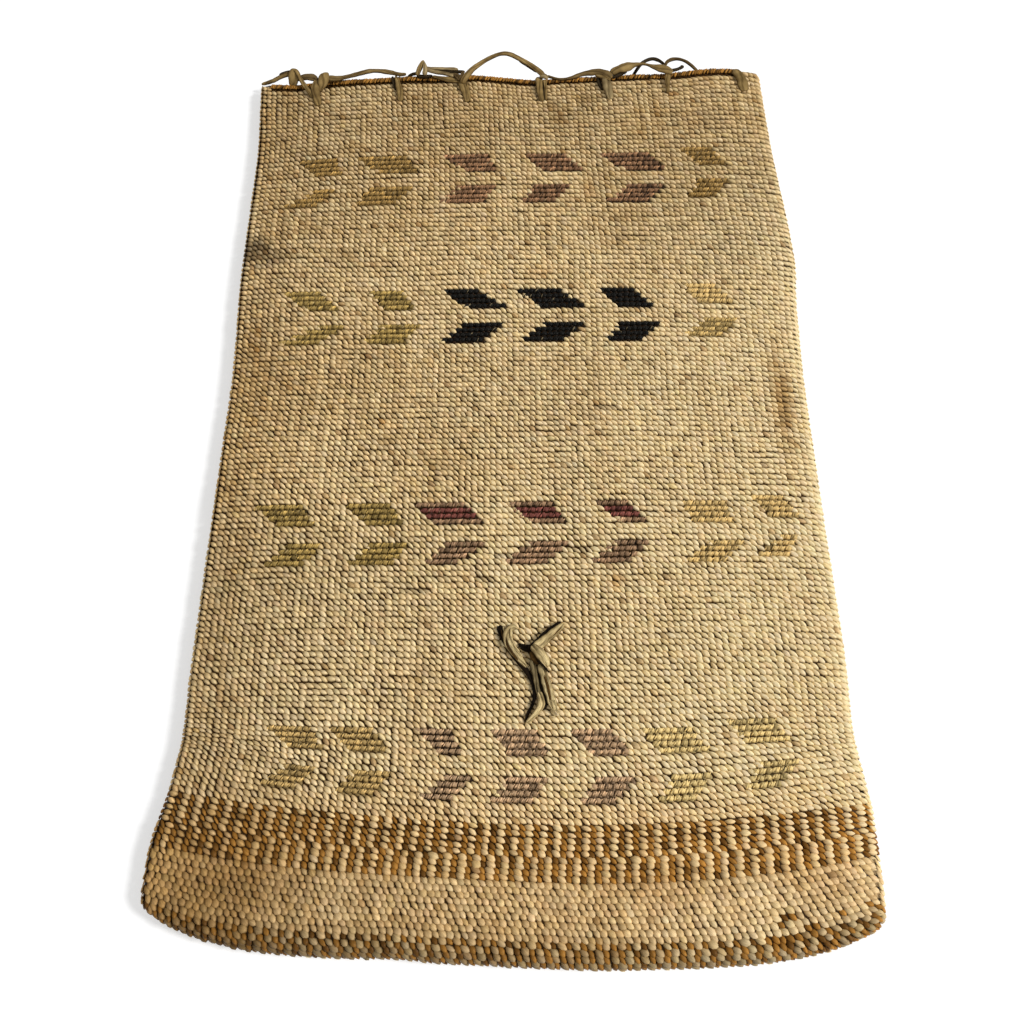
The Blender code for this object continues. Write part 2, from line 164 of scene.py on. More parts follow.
# The overcast edge, in stitches and metres
BINDING_STEP = 0.34  # stitches between two wraps
BINDING_FROM, BINDING_TO = 3.2, 94.5  # the corners are bare
BINDING_REACH = 0.0026  # how far a wrap comes down the outer face
BINDING_INSIDE = np.array([[0.0008], [0.002]])  # and the inner one
BINDING_RISE = np.radians([[20], [90], [160]])  # its way round the lip
BINDING_LIFT = 0.00035  # how far it stands off the wall
BINDING_SLANT = 0.0016
BINDING_DROP = 0.0005  # how much lower than the next one it may lie
BINDING_RADIUS = 0.00052
BINDING_CORE = 0.0012  # radius of the cord under the wraps
BINDING_SIDES = 7
BINDING_TONES = [(0.28, 0.2), (0.6, 0.25), (0.9, 0.25), (1.15, 0.2), (1.5, 0.1)]  # and their frequency
BINDING_SEED = 90

# The strips of hide: the way between two rings, the length of a wave, how much of the width they are
# cupped, and the way that their flat side looks
STRIP_STEP = 0.0007
STRIP_WAVE = 0.004
STRIP_CUP = 0.05
STRIP_FACING = np.array([0, -0.25, 1.0])
# the groove along a strip and the ridge beside it, in shares of the half width
GROOVE_WIDTH, RIDGE_WIDTH, RIDGE_SHIFT = 0.2, 0.25, 0.42
# their section: half widths and half thicknesses, once round
STRIP_TOP = np.array([1, 0.93, 0.72, 0.48, 0.24, 0, -0.24, -0.48, -0.72, -0.93, -1])
STRIP_UNDER = np.array([-0.9, -0.35, 0.35, 0.9])
STRIP_SECTION = (np.concatenate([STRIP_TOP, STRIP_UNDER]),
                 np.concatenate([np.sqrt(1 - STRIP_TOP ** 8), -np.sqrt(1 - STRIP_UNDER ** 8)]))
CURVE_STEPS = 24
# their thickness in mm, how ragged and grooved they are, and how much painted shade darkens their edges,
# with the exceptions
STRIP_LOOK = {"thick": 1.3, "ragged": 0.07, "groove": 0.5, "edge": 0.5}
DEEP = {"groove": 0.8, "edge": 0.7}
STRIP_LOOKS = {
    21: {"ragged": 0.03}, 36: {"thick": 1.4, "groove": 0.1}, 41: DEEP, 45: DEEP, 52: DEEP,
    47: {"thick": 2, "edge": 0.7}, 49: {"ragged": 0.12, **DEEP}, 51: {"groove": 0.9, "edge": 0.8},
    **dict.fromkeys((46, 50, 54, 55, 61), {"thick": 0.8}), **dict.fromkeys((56, 62), {"thick": 0.7}),
    **dict.fromkeys((57, 58, 59, 60), {"thick": 0.4}),
}

# The camera, at the photograph's angle
FOCAL_PIXELS = 1000.0
FRAME_PIXELS = 1024
SENSOR = 36.0
ELEVATION = math.radians(64.54)
SIGHT = Vector((-0.00227, -0.050, 0.0135))
DISTANCE = 0.505
NEAREST = 0.01
BACK = Vector((0, -math.cos(ELEVATION), math.sin(ELEVATION)))
EYE = SIGHT + BACK * DISTANCE

# Light and floor: one key light from the right, a soft fill, and a floor that glows where it is seen
KEY_FROM = (0.75, -0.08, 0.64)
KEY_STRENGTH = 2.7
KEY_SOFT = 14  # degrees across
FILL = 0.42
FLOOR_SIZE = 6
FLOOR_GREY = (0.62, 0.62, 0.62, 1)
FLOOR_LIFT = 0.5
WHITE = (1, 1, 1, 1)

# Materials, by slot: name, fineness of the fibres, roughness, their depth, and their darkest shade
LOOKS = {
    "husk": ("husk", 3.0, 0.46, 0.0002, 0.74),
    "binding": ("brown_husk", 3.0, 0.66, 0.0002, 0.74),
    "hide": ("hide", 1.2, 0.8, 0.0003, 0.74),
    "dark_hide": ("dark_hide", 1.2, 0.75, 0.0003, 0.74),
    "pale_hide": ("pale_hide", 1.6, 0.8, 0.0006, 0.22),
}
GLOSS = 0.08
FIBRE_PALEST = 1.2
FIBRE_DETAIL, FIBRE_ROUGHNESS = 4.0, 0.6
BUMP_STRENGTH = 0.5
PALEST = 0.94  # the lightest that any channel gets, so that a hue holds


def rgb(red, green, blue):
    """An sRGB colour of 0 to 255, as it shows in plain light, as linear values."""
    c = np.array([red, green, blue]) / 255
    return np.where(c <= 0.04045, c / 12.92, ((c + 0.055) / 1.055) ** 2.4)


HUSK_PALE = rgb(248, 223, 172)
HUSK_DULL = rgb(202, 170, 118)
BROWN = rgb(166, 116, 50)
BROWN_DARK = rgb(116, 78, 30)
# painted shade with some dirt: the colour of the ground in the crevices between the stitches
CREVICE_SHADE = rgb(54, 34, 9)
OLIVE = rgb(172, 144, 82)
OLIVE_PALE = rgb(196, 164, 104)
PURPLE = rgb(146, 109, 78)
PURPLE_PALE = rgb(198, 163, 125)
BLACK = rgb(15, 13, 9)
WINE = rgb(124, 72, 62)
MAUVE = rgb(160, 127, 96)
OCHRE = rgb(240, 204, 134)
# painted shade: the stitches under dark wraps, where they show between them
UNDER_WRAPS_SHADE = rgb(36, 23, 10)
BINDING = rgb(158, 112, 50)
# The thong's hide. The pale and the shade copies are the same hide where strips are lit and where they lie
# in shade: painted light and painted shade, with some of the hide's own tone.
HIDE = rgb(142, 117, 72)
HIDE_PALE_AND_LIT = rgb(160, 139, 99)
HIDE_SHADE = rgb(104, 84, 52)
# the darkest hide: partly darker strands, partly painted shadow beside and between strips
HIDE_DARK_AND_SHADOW = rgb(56, 45, 28)
TIE_PALE = rgb(247, 220, 160)
TIE_BROWN = rgb(120, 88, 44)
# the darkest: partly dark strands, partly painted shadow under and beside the tie's strips
TIE_DARK_AND_SHADOW = rgb(30, 20, 8)

# Slow differences over the front wall. Each patch is an amount and the stretches over which it sets in,
# from nothing to all of it, as shares of the half width across or of the length down.
PALENESS = [
    (0.16,), (0.4, ("down", 0.06, 0.3)), (0.2, ("down", 0.42, 0.68)), (-0.42, ("down", 0.86, 0.94)),
    (-0.25, ("across", -0.6, -1)), (-0.3, ("across", -0.2, -1), ("down", 0.8, 0.95)),
]
PALER_TO_RIGHT = [(0.36, ("down", 0.12, 0.5))]
BRIGHTNESS = [
    (1,), (-0.09, ("down", 0.22, 0.07)), (0.16, ("across", 0, 0.9), ("down", 0.2, 0.08)),
    (-0.1, ("across", -0.1, -0.9), ("down", 0.38, 0.25)), (-0.14, ("across", 0, 0.9), ("down", 0.35, 0.25)),
    (-0.17, ("across", 0.1, -0.8), ("down", 0.55, 0.68)), (0.1, ("across", 0, 0.9), ("down", 0.55, 0.68)),
    (-0.035, ("down", 0.28, 0.36), ("down", 0.72, 0.64), ("across", 0.9, 0)),
    (-0.09, ("down", 0.9, 0.94)), (-0.12, ("across", 0, 0.9), ("down", 0.9, 0.94)),
]
FRONT_LIGHT = 1.04
# painted light: the stitches round the folds are painted paler where they turn aside into shade
FOLD_PAINTED_LIGHT = [(0.22, ("across", -0.93, -1)), (0.1, ("across", 0.95, 1))]
LAST_ROWS, LAST_ROWS_DARKER = (8, 1), 0.5  # counted from the base's middle
BACK_PALENESS, BACK_PALER_TO_RIGHT = 0.42, 0.1
DRIFTS = [(0.12, (16, 12), 11), (0.08, (11, 1), 12), (0.06, (1, 14), 13)]  # amount, rows and columns, seed
HUSK_SPREAD = 0.09
STRAY_BROWN, STRAY_PALE = 0.012, 0.985  # stray stitches: random draws below the one and above the other
WARMTH = [0.018, 0, -0.015]

# Where the husk is stained: x and y in mm, two radii in mm, strength, and what is left of its colour
SOOTY, DIRTY, RUSTY = (0.3, 0.28, 0.27), (0.55, 0.47, 0.36), (0.72, 0.52, 0.3)
BROWNED = (0.46, 0.34, 0.2)
GOLDEN = (0.98, 0.92, 0.86)  # the husk near the base
GOLDEN_FROM = (0.84, 0.9)
STAIN_EDGE = (1.5, 0.3)
STAIN_SPREAD = 0.18
STAINS = [
    (-155, 120, 12, 10, 0.9, SOOTY), (-140, 114, 10, 6, 0.5, SOOTY), (-102, 115, 9, 6, 0.55, DIRTY),
    (-118, 135, 12, 8, 0.4, DIRTY), (142.5, 17, 6, 33, 0.85, BROWNED), (22, 231, 5, 4, 0.7, DIRTY),
    (45, 238, 8, 4, 0.6, DIRTY), (14, 102, 7, 5, 0.4, RUSTY), (-72, 3, 3, 2.5, 0.7, RUSTY),
    (42, 15, 3, 2.5, 0.7, RUSTY), (48, -87, 4, 4, 0.7, RUSTY), (26, 222, 7, 9, 0.45, DIRTY),
    (-62, 232, 6, 5, 0.5, DIRTY), (118, 95, 14, 10, 0.25, DIRTY), (-120, -228, 30, 8, 0.35, DIRTY),
    (130, -222, 22, 12, 0.3, RUSTY), (60, -228, 24, 8, 0.3, RUSTY), (98, 243, 3, 3, 0.8, RUSTY),
    (-140, 60, 14, 40, 0.22, DIRTY), (-145, -100, 10, 50, 0.2, DIRTY), (44, 162, 4, 8, 0.45, RUSTY),
    (57, 128, 8, 5, 0.35, DIRTY), (-69, -8, 7, 3, 0.5, DIRTY), (43, -15, 4, 80, 0.2, DIRTY),
    (51, -86, 3, 2.5, 0.6, DIRTY), (115, 222, 14, 10, 0.25, DIRTY), (-22, 178, 14, 5, 0.25, DIRTY),
]
# Where a row has slipped down and shows a dark slit above it: x from and to in mm, y in mm
SLIPPED = [(-57, -42, -93), (-22, -13, -87.4), (-13, -1, -73.6), (24.6, 37, -71), (39, 52, 13)]

# The false embroidery: for each band of motifs, how far from the mouth its upper half starts, and for
# each motif its colour and the left and right end, in mm from the centreline, of the first and last row
# of the upper half and of the first and last row of the lower half
HALF_ROWS = 4
ROWS_BETWEEN = 3
MOTIF_BANDS = [
    (0.065, [
        ("dull olive", (-131, -109), (-122, -105), (-121, -109), (-138, -118)),
        ("dull olive", (-97, -66), (-84, -60), (-88, -62), (-96, -70)),
        ("purple", (-45, -17), (-32, -12), (-36, -12), (-45, -19)),
        ("purple", (6, 31), (14, 41), (10, 33), (3, 24)),
        ("purple", (51, 81), (64, 90), (66, 88), (54, 79)),
        ("dull olive", (100, 120), (109, 127), (109, 127), (103, 120))
    ]),
    (0.1673, [
        ("olive", (-131, -111), (-119, -101), (-111, -96), (-131, -108)),
        ("olive", (-83, -64), (-74, -57), (-76, -53), (-85, -62)),
        ("black", (-41, -21), (-29, -6), (-30, -7), (-41, -18)),
        ("black", (1, 26), (12, 38), (14, 37), (4, 27)),
        ("black", (47, 67), (57, 77), (57, 80), (49, 70)),
        ("tan", (94, 113), (101, 122), (104, 123), (93, 114))
    ]),
    (0.3045, [
        ("olive", (-133, -108), (-121, -102), (-115, -98), (-125, -104)),
        ("olive", (-86, -64), (-77, -57), (-74, -55), (-84, -60)),
        ("wine", (-51, -26), (-43, -18), (-36, -16), (-45, -29)),
        ("wine", (-4, 18), (5, 24), (5, 26), (-6, 16)),
        ("wine", (40, 56), (51, 65), (48, 66), (37, 57)),
        ("ochre", (83, 106), (88, 109), (95, 113), (84, 104)),
        ("ochre", (119, 136), (127, 143), (131, 141), (120, 136))
    ]),
    (0.4185, [
        ("pale olive", (-115, -95), (-106, -88), (-106, -91), (-115, -99)),
        ("pale olive", (-86, -66), (-78, -59), (-75, -57), (-81, -64)),
        ("worn purple", (-47, -30), (-37, -25), (-33, -21), (-44, -28)),
        ("pale purple", (-12, 9), (-5, 14), (-5, 14), (-12, 7)),
        ("faded purple", (25, 44), (32, 51), (35, 52), (28, 44)),
        ("pale ochre", (57, 80), (64, 87), (69, 87), (63, 80)),
        ("pale ochre", (96, 119), (103, 125), (108, 128), (102, 119))
    ]),
]
# Their colours. The tan motifs are greener in their lower half, and the wine ones are wine in the two
# middle rows of their upper half only.
WORN, FADED = 0.8, 1.08
MOTIF_COLOURS = {
    "olive": OLIVE, "pale olive": OLIVE_PALE, "dull olive": OLIVE * [0.92, 0.83, 0.84],
    "purple": PURPLE, "pale purple": PURPLE_PALE, "worn purple": PURPLE_PALE * WORN,
    "faded purple": PURPLE_PALE * FADED, "black": BLACK, "wine": MAUVE, "tan": OCHRE,
    "ochre": OCHRE, "pale ochre": OCHRE * [1.12, 1.2, 1.28],
}
FAINT = ("olive", "pale olive", "dull olive", "tan", "ochre", "pale ochre", "pale purple", "faded purple")
# Under faint wraps the stitches are the motif's colour darkened as painted shade between the wraps
FAINT_SHADE = 0.34  # how dark the stitches are under such wraps

# The thongs, strip by strip. A strip has a number, which seeds its random waves, a colour, and spots of
# x, y, mm above the wall and width in mm, with a roll in degrees where it has one.
THONG_LEFT = [  # from the left corner through the first and the second hole
    (1, HIDE, (-161, 250.4, 0.4, 1.6), (-157.8, 251.6, 1.2, 2.2), (-153.7, 253.8, 2, 3.2, 10),
     (-149.6, 257, 2.8, 3.6, 10), (-145.3, 259.1, 3, 3), (-141, 260, 2, 2.6)),
    (2, HIDE_DARK_AND_SHADOW, (-150.5, 258.6, 1.6, 1.6), (-146.7, 260.9, 2.4, 1.6), (-141.5, 262.2, 2.4, 1.8)),
    (3, HIDE, (-141.6, 248.5, -0.5, 5.6), (-141.4, 253.9, 2.6, 6.4), (-141.6, 258.4, 4.2, 6.6),
     (-142.2, 262.3, 5, 5.2, 10), (-141.6, 264, 4.6, 3.2, 20)),
    (4, HIDE, (-142.2, 263.8, 4.8, 2.6, 30), (-139.8, 261.6, 4.8, 3, 20), (-137.2, 255.8, 4, 2.9, 10),
     (-133.6, 249.2, 3, 2.8), (-130, 243.4, 1.8, 2.5), (-127.4, 238.6, 0.7, 1.6)),
    # a strip that lies in shade, painted darker
    (5, HIDE_SHADE, (-138.5, 254.5, 1, 3.4), (-135.5, 256.4, 2, 4.4), (-131.5, 257, 2.6, 4.8),
     (-127.8, 255.6, 2.4, 4, -20), (-126.4, 252, 1.4, 2.6, -30)),
    (6, HIDE, (-126.4, 256, 1.6, 1.4), (-127, 250.5, 2.4, 4.4), (-126.6, 246, 2.4, 5.8),
     (-125.2, 239.4, 1.6, 5.2), (-123.4, 231.9, 0.7, 3.8)),
    (7, HIDE, (-123.6, 243.8, 1, 2), (-122.8, 248.5, 2.4, 4.4), (-122.2, 253.5, 3.6, 6.6),
     (-122.2, 258, 4.2, 6.8), (-122.4, 260.2, 3.6, 5.6)),
    (8, HIDE_SHADE * 0.5 + HIDE * 0.5, (-124, 255.5, 2.4, 3.4), (-118.5, 255.8, 3.4, 3.6),
     (-113, 255.6, 3.2, 3), (-106.9, 257.3, 2.8, 2.9), (-99.4, 260, 2.8, 3), (-93.3, 262.1, 3, 3, 10),
     (-87.1, 262.3, 3.2, 3, 10), (-79.4, 260.8, 3, 3), (-74, 259.2, 2.4, 2.6), (-69.8, 259.4, 2, 1.6)),
    # painted shadow on the left of the next strip
    (9, HIDE_DARK_AND_SHADOW, (-78.4, 257, 1, 1.8), (-77.4, 252, 1, 2), (-76, 245.5, 0.8, 1.2)),
    (10, HIDE, (-76.4, 257.8, 1.2, 1.2), (-75.2, 253.5, 2.2, 2.6), (-74, 248, 2, 4.2), (-73, 243, 1.6, 4.2),
     (-72.2, 235.8, 0.7, 3.8)),
]
THONG_BIGHT = [  # the folded thong between the second and the third hole
    (11, HIDE_DARK_AND_SHADOW, (-69, 255.5, -1, 1.8), (-66.8, 258.6, 1, 2), (-64, 259.8, 2, 2),
     (-61.5, 259.4, 2.4, 2)),
    (12, HIDE, (-62.8, 258.4, 2.4, 2.6), (-61.8, 263, 3.6, 3.4), (-60.4, 268, 4.8, 2.8),
     (-59.2, 271.6, 5.4, 1.4)),
    (13, HIDE_PALE_AND_LIT, (-59.4, 271.4, 5.4, 1.4), (-58.2, 267, 5.2, 2.4), (-57.8, 262, 4.6, 3),
     (-58.4, 258.6, 3, 3.4)),
    (14, HIDE_DARK_AND_SHADOW, (-63, 257.8, 1.6, 2), (-58, 257.2, 2, 2.4), (-53, 258, 1.8, 1.6)),
    (15, HIDE_PALE_AND_LIT, (-57.8, 265, 5, 2), (-53, 264.4, 5, 2), (-46, 264.2, 4.8, 1.9), (-40, 264, 4.6, 2.2),
     (-36.8, 263.6, 4, 1.2)),
    # painted shadow between the strips on either side
    (16, HIDE_DARK_AND_SHADOW, (-55, 262.4, 3.4, 1.6), (-47, 262, 3.4, 1.8), (-40, 261.6, 3.2, 2.2),
     (-32.5, 261.5, 2, 1.6)),
    (17, HIDE_PALE_AND_LIT, (-58, 263.8, 4.4, 2.2), (-51.7, 261.4, 4.4, 2.4), (-45.5, 260, 4.2, 2.4),
     (-39.2, 257.9, 3.8, 2.6)),
    (18, HIDE, (-53, 257.4, 2, 1.6), (-45.3, 255.2, 2.6, 3), (-37, 253.6, 2.6, 3.2),
     (-33.5, 253.4, 2, 2.4)),
]
THONG_MIDDLE = [  # through the third hole, with the big free arc, and through the fourth
    (19, HIDE_SHADE, (-39.5, 260, 3.4, 3, 30), (-37, 257.5, 4.2, 4), (-35, 254.5, 4, 3.4, -20)),
    (20, HIDE_SHADE, (-37.5, 255, 3.6, 2.4), (-34.5, 257.5, 4.4, 2.8), (-33.5, 261.5, 3.6, 2)),
    (21, HIDE, (-33.8, 251, 3, 3.8), (-32.8, 254.6, 4.6, 4.4), (-30, 260, 5.4, 4.4), (-27.4, 264, 5.6, 3.6),
     (-24.2, 267.4, 6, 3), (-19.7, 271.6, 6.8, 2.7), (-15.1, 275, 7.6, 2.6), (-11.2, 277.2, 8.2, 2.6),
     (-7.2, 278.1, 8.4, 2.8), (-3.3, 277.2, 8.2, 2.8), (0.7, 274.6, 7.8, 3), (5.3, 271.2, 7.2, 3.2),
     (9.8, 267.4, 6.4, 3.2), (13.8, 263.4, 5.4, 3.4), (16.6, 260, 4.4, 3.8), (18.3, 256, 3, 3.4)),
    (22, HIDE_DARK_AND_SHADOW, (2, 272, 6.6, 1.2), (8, 266.6, 5.6, 1.6), (13.4, 261.4, 4.2, 1.4)),
    (23, HIDE_PALE_AND_LIT, (15.6, 257.5, 3.4, 3, 20), (18.6, 257.6, 4.4, 3.6, 10), (20.6, 255.4, 3.2, 2.6)),
    (24, HIDE, (-35, 253.5, 1.6, 4.2), (-33.6, 249, 2.4, 4.6), (-32.2, 243.5, 1.8, 4.2),
     (-30.4, 235.2, 0.7, 3.4)),
    (25, HIDE, (-31.6, 252, 1.2, 2), (-30.6, 246.3, 1.4, 2.6), (-28.8, 235.6, 0.6, 2.2)),
    (26, HIDE, (14.8, 256.5, 2, 4.2), (15, 250, 2.4, 4.4), (15.4, 243.5, 1.8, 4.2),
     (16.7, 235.4, 0.7, 3.6)),
    (27, HIDE, (18.4, 254, 2.2, 2.4), (18.9, 248, 1.8, 1.8), (19.2, 236.5, 0.6, 1.6)),
    # painted shadow in the gap between the last two strips
    (28, HIDE_DARK_AND_SHADOW, (17.2, 250, 0.9, 1.6), (17.6, 244, 0.9, 1.8), (17.9, 238, 0.5, 1.2)),
]
THONG_RIGHT = [  # through the fifth and the sixth hole
    (29, HIDE_SHADE * 0.6 + HIDE * 0.4, (20.1, 257.6, 1.4, 1.8), (27.9, 254.9, 1.4, 1.6),
     (34.4, 255.8, 1.8, 1.8), (42.4, 259.4, 2.6, 3), (48.4, 260.8, 3.4, 4), (53.5, 261.6, 4.4, 4.4),
     (58.4, 259.6, 4.8, 4.6, -10), (61, 255.8, 4, 3.8, -20)),
    (30, HIDE, (51, 258.4, 3, 2), (56, 256.6, 4, 2.4), (60.4, 254.4, 4, 2)),
    # painted shadow behind the next strip
    (31, HIDE_DARK_AND_SHADOW, (52.4, 256, 1.4, 2.4), (53.4, 250.5, 1.4, 2.4), (55, 245.5, 0.9, 1.6)),
    (32, HIDE_PALE_AND_LIT, (57, 258, 3, 5.2), (57.6, 252.5, 3.4, 6.2), (58.6, 246, 2.4, 5.6),
     (59.8, 237.4, 0.8, 4)),
    (33, HIDE_DARK_AND_SHADOW, (61.5, 256.5, 2, 2.4), (66, 259, 2.4, 2.6), (71, 261.5, 2, 1.6)),
    (34, HIDE, (60.9, 260.1, 3.4, 4.4), (64.6, 263.2, 4.2, 5.4), (71.7, 266.1, 4.8, 5.6),
     (77.5, 268.2, 5.2, 3.8, 30), (83.1, 268.2, 5.2, 3, 40), (89.6, 265.8, 5, 4.4, 10),
     (96, 263.6, 4.6, 5.2), (100.2, 261, 3.4, 4.4)),
    (35, HIDE, (97.4, 259.5, 3, 3.4), (96.6, 254, 2.2, 3.6), (96.4, 248, 1.5, 2.8),
     (96.2, 242.6, 0.6, 1.2)),
]
THONG_CORNER = [  # the short thong over the edge at the right corner
    (36, HIDE, (140.4, 263.4, 0.6, 5.2), (142, 259.6, 2, 6.2), (143.5, 255, 2, 6.8),
     (144.3, 249.6, 1.6, 6.8), (144.9, 244.6, 0.7, 5.6)),
]
# Its darker colour is partly the hide's own and partly painted shade, as it lies inside the mouth.
THONG_BACK = [  # the darker thong on the back wall's edge, seen over the mouth
    (37, HIDE_DARK_AND_SHADOW, (73.5, 254, -5, 2), (75.4, 259, -3, 2.2), (78.4, 264.9, 0, 2.2), (81, 269, 1.4, 2.2),
     (84.6, 272, 2, 2), (88.4, 273.2, 2.2, 2), (92, 271.8, 2, 2), (95.4, 268.4, 2, 1.8)),
    (38, HIDE_SHADE, (95.6, 266.5, 2, 1.8), (97.6, 270.6, 2.4, 2), (101, 272.8, 2.6, 2.2),
     (105, 273, 2.4, 2.2), (109, 271.2, 1.6, 2), (112.2, 268, 0, 2), (115, 264, -3, 1.8),
     (117, 260, -6, 1.6)),
    (39, HIDE_DARK_AND_SHADOW, (99, 262.4, 1, 2), (103, 263.6, 0.6, 2), (105.6, 265, 0.4, 2.4),
     (107.4, 266.8, 0.2, 2.8)),
]
FRONT_TIE = [  # the knotted thong on the front, with its four loose ends and its fringe
    (41, TIE_PALE * 0.85, (0.2, -111.8, 0.8, 1.8), (-1.8, -111, 1.6, 3), (-3.8, -112.4, 2.4, 3.8, 10),
     (-4.8, -115.3, 2.6, 4, 10), (-3.6, -119.5, 2.4, 4), (-1.2, -123.3, 2.2, 3.8), (1.6, -127, 2, 3),
     (4.6, -130.8, 1.6, 1.8)),
    # a painted highlight along the hook's lit right side
    (54, TIE_PALE * 1.1, (-2.6, -111.6, 3, 1), (-2.7, -115.4, 3.3, 1.2), (-1.4, -119.6, 3.1, 1.2),
     (0.6, -123, 2.9, 1), (2.8, -126.2, 2.5, 0.6)),
    # darker brown along the hook's left side: partly the hide's colour, partly painted shade
    (55, TIE_BROWN * 0.5, (-5.4, -116, 3, 0.9), (-4.4, -120, 2.8, 1.1), (-2.2, -123.8, 2.6, 1),
     (0.6, -127.4, 2.3, 0.7)),
    # a dark strand, with the tie's shadow painted along it
    (42, TIE_DARK_AND_SHADOW, (-8.5, -110.4, 0.9, 3.6), (-7, -114.5, 1, 3), (-5.1, -119.5, 1, 2.6),
     (-2.3, -123.9, 1, 2.6), (0.8, -128, 1, 2.6), (4.3, -132.4, 1, 2.4), (7, -137.2, 0.9, 2.2),
     (8.3, -142.8, 0.8, 2), (7.5, -147.9, 0.7, 1.6), (5.2, -152.6, 0.6, 1.4), (3.9, -156.2, 0.4, 1)),
    (43, TIE_PALE * 0.7, (-6.4, -110.6, 1.6, 1.2), (-5.7, -113.7, 1.7, 1), (-5.2, -117, 1.4, 0.7)),
    # painted shadow along the upper side of the right arm
    (44, TIE_DARK_AND_SHADOW, (21, -108.6, 0.8, 1.8), (16.7, -111.8, 1.4, 2.4), (12.7, -115.1, 1.8, 2.6),
     (8.4, -119.2, 2, 2.4), (5.4, -122.4, 1.4, 2.8)),
    (45, TIE_PALE, (22.4, -109.6, 1, 2.8), (18.8, -112.8, 2.2, 4), (15.2, -115.8, 2.6, 4.4),
     (11.8, -118.8, 3, 4.6), (8.6, -122, 3, 4.4)),
    (46, TIE_BROWN, (21.6, -111.2, 1.8, 1), (20.4, -113, 2, 1.4), (17.6, -115.4, 2, 1.2)),
    # painted shadow in the V between the arms
    (61, TIE_DARK_AND_SHADOW, (1, -119.4, 0.5, 2), (3.6, -121.3, 0.6, 3.4), (6.2, -121.9, 0.8, 3.6),
     (7.6, -124.6, 0.8, 3)),
    # darker brown on the left of the hook: partly the hide's colour, partly painted shade
    (62, TIE_BROWN * 0.6, (-7.4, -112.4, 2.2, 0.9), (-6.6, -115.6, 2.4, 1.1), (-5, -119.6, 2.2, 0.9)),
    (47, TIE_PALE, (7.4, -120.5, 3.2, 3.6), (9.4, -122.4, 4.4, 4.8), (11.6, -124.8, 4.8, 5),
     (13.6, -128, 4.2, 4), (14.6, -130.6, 2.6, 2.2)),
    # painted shade in a fold of the knot
    (56, TIE_DARK_AND_SHADOW, (9.4, -127.6, 4.4, 0.8), (11.4, -129.2, 4.8, 1), (13.6, -131.4, 4.2, 0.9),
     (15, -133.4, 3.4, 0.6)),
    (48, TIE_BROWN, (6.8, -123.4, 2, 3), (8.4, -126.8, 2.8, 3.4), (10.4, -129.2, 2.4, 2.6)),
    (49, TIE_PALE * 0.85, (11.2, -129.4, 2.6, 4.4), (12.2, -133, 2.8, 4.8), (13.4, -137.2, 2.2, 4.4, 10),
     (14.6, -141.6, 2, 4.4), (15.8, -146, 1.8, 4), (17, -149.6, 1.2, 3), (17.6, -151.6, 0.7, 2)),
    *[(57 + k, TIE_PALE, (15.4 + 0.7 * k, -146.5, 2.4, 0.5), (16 + 0.9 * k, -150 - k % 2, 1.6, 0.45),
       (16.4 + 1.2 * k, -153.4 - 1.6 * (k % 2), 0.8, 0.3))
      for k in range(4)],
    (50, TIE_BROWN, (12.8, -134.6, 3.2, 1.2), (14, -138.6, 2.8, 1.4), (14.9, -142.6, 2.5, 1.2),
     (15.6, -146.4, 2.3, 0.8)),
    (51, TIE_PALE * 0.36, (7.2, -127.4, 2, 3), (8, -132, 2, 3), (8.8, -136.6, 1.8, 2.6),
     (9.6, -141, 1.8, 2.4), (10.6, -144.6, 1.8, 2.6)),
    (52, TIE_PALE, (10.3, -142.6, 1.6, 2.6), (11.2, -146.4, 2.4, 3.6), (11, -149.4, 2.6, 3.6, 20),
     (8.8, -152.6, 2.2, 2.8, 10), (6.6, -155, 1.6, 2.4), (4.6, -157.2, 0.9, 1.8)),
    # painted shadow in the gap between the legs
    (53, TIE_DARK_AND_SHADOW, (9.6, -129, 0.9, 2.6), (11.2, -135, 0.9, 2.8), (12.2, -141, 0.9, 2.8),
     (13.4, -146.6, 0.8, 2.8), (12, -151, 0.6, 2)),
]
# Node, slot and strips
THONGS = [
    ("thong_left", "hide", THONG_LEFT), ("thong_bight", "hide", THONG_BIGHT),
    ("thong_middle", "hide", THONG_MIDDLE), ("thong_right", "hide", THONG_RIGHT),
    ("thong_corner", "hide", THONG_CORNER), ("thong_back", "dark_hide", THONG_BACK),
    ("front_tie", "pale_hide", FRONT_TIE),
]


# Form
def smooth(stations, at):
    """Values at places, on a smooth line through (place, value) stations."""
    places, values = np.array(stations, float).T
    at = np.clip(np.asarray(at, float), places[0], places[-1])
    k = np.clip(np.searchsorted(places, at) - 1, 0, len(places) - 2)
    chord = np.diff(values) / np.diff(places)
    a, b = chord[:-1], chord[1:]
    total = np.where(a + b == 0, 1, a + b)
    slope = np.concatenate([chord[:1], np.where(a * b > 0, 2 * a * b / total, 0), chord[-1:]])
    span = np.diff(places)[k]
    t = (at - places[k]) / span
    return (values[k] * (1 + 2 * t) * (1 - t) ** 2 + values[k + 1] * t * t * (3 - 2 * t)
            + span * (slope[k] * t * (1 - t) ** 2 - slope[k + 1] * t * t * (1 - t)))


def ramp(low, high, at):
    """0 below low, 1 above high, and a soft rise between."""
    t = np.clip((np.asarray(at, float) - low) / (high - low), 0, 1)
    return t * t * (3 - 2 * t)


def unit(vectors):
    """The same vectors, each of length 1."""
    return vectors / np.linalg.norm(vectors, axis=-1, keepdims=True)


def across(down, u):
    """x at the share u of the half width."""
    share = down / LENGTH
    side = np.where(u > 0, smooth(RIGHT_SIDE, share), smooth(LEFT_SIDE, share))
    return u * side * WIDTH / 2


